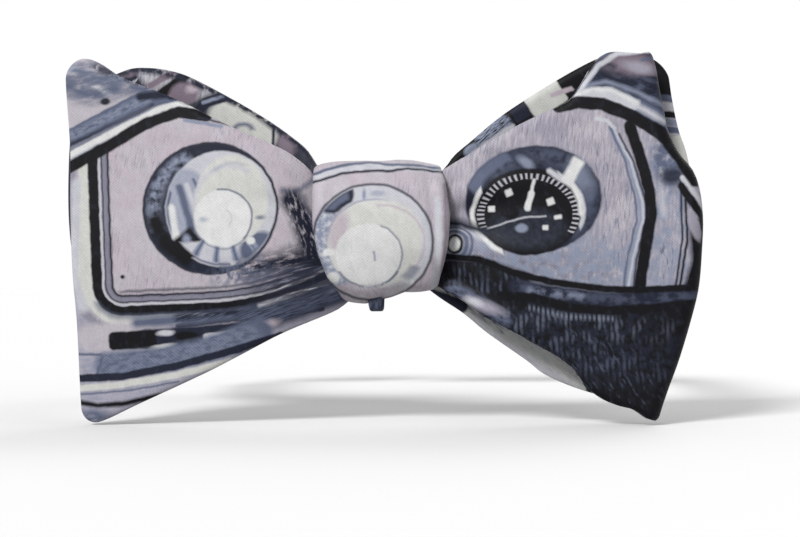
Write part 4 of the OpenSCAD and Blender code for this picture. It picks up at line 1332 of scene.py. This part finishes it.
BAND_R, BAND_HALF, BAND_W = 58.75, 0.75, 18
SIDE_Y, BACK_R, BACK_X = 36, 26.75, 32
BACK_Y = SIDE_Y + BACK_R
BAR_Y = 61
TURN_R = BACK_Y - BAR_Y
HOOK_X, EYE_X, SLIDER_X = -26, -4, 26
RETURN_Y = BAR_Y - TURN_R
SLIDER_BAR_Y = 59.85
TAB_R = 1.375                   # the loop round the slider's bar
PLIES = ("face", "interlining", "lining")


def arc(cx, cy, r, start, end, count):
    t = np.radians(np.linspace(start, end, count))
    return np.stack([cx + r * np.cos(t), cy + r * np.sin(t)], 1)


def run(*parts):
    """One path through parts, with no point twice."""
    points = np.concatenate([np.atleast_2d(p) for p in parts])
    keep = np.concatenate([[True], np.linalg.norm(np.diff(points, axis=0), axis=1) > 1e-6])
    return points[keep]


def resampled(path, spacing):
    length = np.concatenate([[0], np.cumsum(np.linalg.norm(np.diff(path, axis=0), axis=1))])
    count = max(int(length[-1] / spacing), 2)
    at = np.linspace(0, length[-1], count + 1)
    return np.stack([np.interp(at, length, path[:, k]) for k in range(2)], 1), at


def band_side(side, end_x, last):
    """The band's middle line from behind the knot round to end_x, then through last."""
    start = math.degrees(math.acos(9.7 / BAND_R))
    front = arc(0, 0, BAND_R, -start, 0, 70)
    corner = arc(BACK_X, SIDE_Y, BACK_R, 0, 90, 40)
    path = run(front, corner, [(x, BACK_Y) for x in np.linspace(BACK_X, side * end_x, 40)])
    path[:, 0] *= side
    return run(path, last)


def strap(name, path, outward, materials, width=BAND_W, half=BAND_HALF, wander=0.0, parts=PLIES):
    """The plies of a strap on edge along a path; outward picks the side its face is on."""
    line, at = resampled(path, 0.9)
    tangent = np.gradient(line, axis=0)
    tangent /= np.linalg.norm(tangent, axis=1, keepdims=True)
    n = np.stack([tangent[:, 1], -tangent[:, 0]], 1) * outward
    made = []
    for part in parts:
        inset = 0.9 if part == "interlining" else 0.0
        across = eased(24)
        z = (across - 0.5) * (width - 2 * inset)
        zz = np.broadcast_to(z, (len(line), len(z))).copy()
        edge = 0.12 * np.sin(at / 9.0) * wander
        zz += edge[:, None] * (across - 0.5)
        depth = 0.05 + rounded(width / 2 - np.abs(zz), 0.9, half - 0.07)
        soft = wander * 0.1 * (np.sin(at / 5.3)[:, None] * np.cos(zz / 3.4) + 0.6
                               * np.sin(at[:, None] / 3.1 + zz / 4))
        if part == "interlining":
            low, high = np.full_like(zz, -half * 0.3), np.full_like(zz, half * 0.3)
        else:
            high, low = depth, depth * 0.52
        sign = -1 if part == "lining" else 1
        grids = []
        for offset in (high, low):
            off = sign * offset + np.minimum(soft, 0.0) * (1 if part != "lining" else 0.0)
            flat = line[:, None] + n[:, None] * off[:, :, None]
            grids.append(np.concatenate([flat, zz[:, :, None]], -1))
        uv = np.stack([np.broadcast_to(at[:, None], zz.shape), zz], -1)
        piece = shell(name + "_" + part if len(parts) > 1 else name, grids[0], grids[1], uv)
        piece.data.materials.append(materials[parts.index(part)])
        made.append(piece)
    return made


def add_band():
    face = reverse_print("print_strap_face", 0.25)
    lining = reverse_print("print_strap_lining", 0.55)
    silks = (face, CANVAS, lining)
    left = band_side(-1, HOOK_X, run(arc(HOOK_X, BAR_Y, TURN_R, 90, -90, 22), [(HOOK_X - 8, RETURN_Y)]))
    for piece, part in zip(strap("left_strap", left, -1, silks, wander=1), PLIES):
        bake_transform(piece)
        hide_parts(f"left_strap_{part}", *(["left_strap_end"] if part == "face" else []))
    right = band_side(1, EYE_X, arc(EYE_X, BAR_Y, TURN_R, 90, 270, 22))
    for piece, part in zip(strap("right_strap", right, 1, silks, wander=1), PLIES):
        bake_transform(piece)
        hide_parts(f"right_strap_{part}", *(["right_strap_fold"] if part == "face" else []))
    half = math.degrees(math.asin(9.5 / BAND_R))
    middle = arc(0, 0, BAND_R, -90 - half, -90 + half, 24)
    for piece, part in zip(strap("front_strap", middle, 1, silks, wander=1), PLIES):
        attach(piece, BOW)
        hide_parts(f"front_strap_{part}")
    back = [(EYE_X, RETURN_Y), (SLIDER_X - 8, RETURN_Y - 0.1), (SLIDER_X - 2.5, RETURN_Y - 0.55),
            (SLIDER_X - 0.2, RETURN_Y - 0.75)]
    piece, = strap("strap_return", np.array(back), 1, (face,), width=BAND_W - 0.4, half=0.62,
                   wander=0.6, parts=("whole",))
    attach(piece, RIGHT)
    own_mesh(piece)
    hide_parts("strap_return")
    tab = run([(SLIDER_X - 3, SLIDER_BAR_Y - TAB_R)], arc(SLIDER_X, SLIDER_BAR_Y, TAB_R, -90, 90, 18),
              [(SLIDER_X - 5.6, SLIDER_BAR_Y + TAB_R)])
    piece, = strap("slider_loop", tab, 1, (face,), width=BAND_W - 0.8, half=0.45, parts=("whole",))
    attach(piece, SLIDER)
    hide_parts("slider_loop")


# ---------------------------------------------------------------- metal, stitches and label

def placed(points, x, y, angle=0.0):
    """Points made about the origin, turned about Z and moved to x, y."""
    c, s = math.cos(math.radians(angle)), math.sin(math.radians(angle))
    p = np.asarray(points, float)
    return np.stack([x + c * p[:, 0] - s * p[:, 1], y + s * p[:, 0] + c * p[:, 1], p[:, 2]], 1)


def metal(name, parts, body, material):
    piece = merged(name, parts)
    piece.data.materials.append(material)
    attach(piece, body)
    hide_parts(name)
    return piece


def wire_loop(x0, x1, z, r, bend):
    corners = [(x0, 0, z), (x1, 0, z), (x1, 0, -z), (x0, 0, -z)]
    return sweep(rounded_path(corners, bend, closed=True, steps=10), round_section(r, 16), closed=True,
                 up=(0, 1, 0))


def add_hardware():
    plate = nickel()
    wire_r, rail_z = 0.8, 10.3
    # hook: a wire loop whose cross bar a tongue is curled on
    points, faces = wire_loop(0, 6, rail_z, wire_r, 2)
    curl = arc(6, 0, 1.6, 300, 90, 22)
    tongue = run(curl, rounded_path([(6, 1.6), (15.7, 1.6), (15.7, -1.7)], 1.4))
    tongue, _ = resampled(tongue, 0.35)
    path = np.column_stack([tongue, np.zeros(len(tongue))])
    t_points, t_faces = sweep(path, plate_section(0.95, 7, 0.4), up=(0, 0, 1))
    # the tip of the tongue is rounded
    tip = smooth((t_points[:, 0] - 13.5) / 2.5)
    t_points[:, 2] *= 1 - 0.28 * tip
    turn = 18
    metal("hook", [(placed(points, HOOK_X, BAR_Y, turn), faces),
                   (placed(t_points, HOOK_X, BAR_Y, turn), t_faces)],
          HOOK, plate)
    points, faces = wire_loop(-8, 0, rail_z, wire_r, 2)
    metal("eye_ring", [(placed(points, EYE_X, BAR_Y), faces)], EYE, plate)
    low, high = box_mm("slider_frame")
    middle, half = (low + high) / 2, (high - low) / 2
    rim = 1.75
    a, b = half[0] - rim / 2, half[2] - rim / 2
    corners = [(a, 0, b), (-a, 0, b), (-a, 0, -b), (a, 0, -b)]
    section = plate_section(half[1] * 2, rim, 0.42)
    points, faces = sweep(rounded_path(corners, 2, closed=True, steps=10), section[:, ::-1],
                          closed=True, up=(0, 1, 0))
    metal("slider_frame", [(placed(points, middle[0], middle[1]), faces)], SLIDER, plate)
    reach = middle[1] - SLIDER_BAR_Y
    corners = [(0, reach, rail_z), (0, 0, rail_z), (0, 0, -rail_z), (0, reach, -rail_z)]
    points, faces = sweep(rounded_path(corners, 1.3), round_section(wire_r, 16), up=(1, 0, 0))
    metal("slider_bar", [(placed(points, SLIDER_X, SLIDER_BAR_Y), faces)], SLIDER, plate)


def zigzag(x0, x1, z0, z1, y, stitches):
    """A bar tack's thread: a close zigzag, dipping into the cloth at both sides."""
    t = np.linspace(0, stitches, stitches * 6 + 1)
    swing = np.abs((t % 2) - 1)
    return np.stack([x0 + (x1 - x0) * swing, y + 0.16 * (2 * np.abs(swing - 0.5)) ** 4,
                     z0 + (z1 - z0) * t / stitches], 1)


def tack(name, x0, x1, y, body, material):
    low, high = box_mm(name)
    path = zigzag(x0, x1, low[2], high[2], y, 44)
    rails = [np.stack([np.full(60, x), np.full(60, y + 0.05), np.linspace(low[2], high[2], 60)], 1)
             for x in (x0 + 0.2, x1 - 0.2)]
    parts = [sweep(path, round_section(0.11, 6), up=(0, 1, 0))]
    parts += [sweep(rail, round_section(0.09, 6), up=(0, 1, 0)) for rail in rails]
    piece = merged(name, parts)
    piece.data.materials.append(material)
    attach(piece, body)
    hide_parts(name)


def add_stitches():
    cotton = thread("thread", colour(168, 164, 178))
    low, high = box_mm("left_bartack")
    tack("left_bartack", low[0], high[0], RETURN_Y - BAND_HALF - 0.02, LEFT, cotton)
    low, high = box_mm("slider_bartack")
    tack("slider_bartack", SLIDER_X - 4.6, SLIDER_X - 3.1, SLIDER_BAR_Y - TAB_R - 0.55, SLIDER, cotton)


def add_label():
    """A blank woven label on the neck side, its ends turned under and tacked at its corners."""
    low, high = box_mm("size_label")
    y = low[1] + (high[1] - low[1]) * eased(40)
    z = low[2] + (high[2] - low[2]) * eased(20)
    yy, zz = np.meshgrid(y, z, indexing="ij")
    edge = np.minimum.reduce([yy - low[1], high[1] - yy, zz - low[2], high[2] - zz])
    thick = 0.1 + rounded(edge, 0.5, 0.16)
    ridge = 0.07 * (np.exp(-((yy - low[1] - 1.8) / 0.25) ** 2) + np.exp(-((high[1] - 1.8 - yy) / 0.25) ** 2))
    x = low[0] + thick - ridge + 0.05 * np.sin(yy / 2.7) * np.cos(zz / 2.2)
    outer = np.stack([x, yy, zz], -1)
    inner = np.stack([np.full_like(x, low[0] - 0.1), yy, zz], -1)
    piece = shell("size_label", outer, inner, np.stack([yy, zz], -1))
    piece.data.materials.append(plain_weave("label_weave", colour(224, 222, 214), colour(196, 192, 182),
                                            0.3, 0.6))
    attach(piece, LEFT)
    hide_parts("size_label")
    parts = []
    for cy in (low[1] + 0.9, high[1] - 0.9):
        for cz in (low[2] + 0.9, high[2] - 0.9):
            for k in range(3):
                a = np.array([high[0] + 0.02, cy - 0.6, cz - 0.45 + 0.45 * k])
                b = a + np.array([0, 1.2, 0.25])
                mid = (a + b) / 2 + np.array([0.1, 0, 0])
                parts.append(sweep(rounded_path([a - (0.2, 0, 0), a, mid, b, b - (0.2, 0, 0)], 0.2,
                                                steps=4), round_section(0.1, 6)))
    piece = merged("label_stitches", parts)
    piece.data.materials.append(thread("label_thread", colour(196, 190, 200)))
    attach(piece, LEFT)


# ---------------------------------------------------------------- all together

CANVAS = plain_weave("interlining", colour(226, 222, 210), colour(188, 182, 168), 0.6, 0.85)

add_camera()
add_studio()
add_floor()
add_bow()
add_knot()
add_waists()
add_band()
add_hardware()
add_stitches()
add_label()
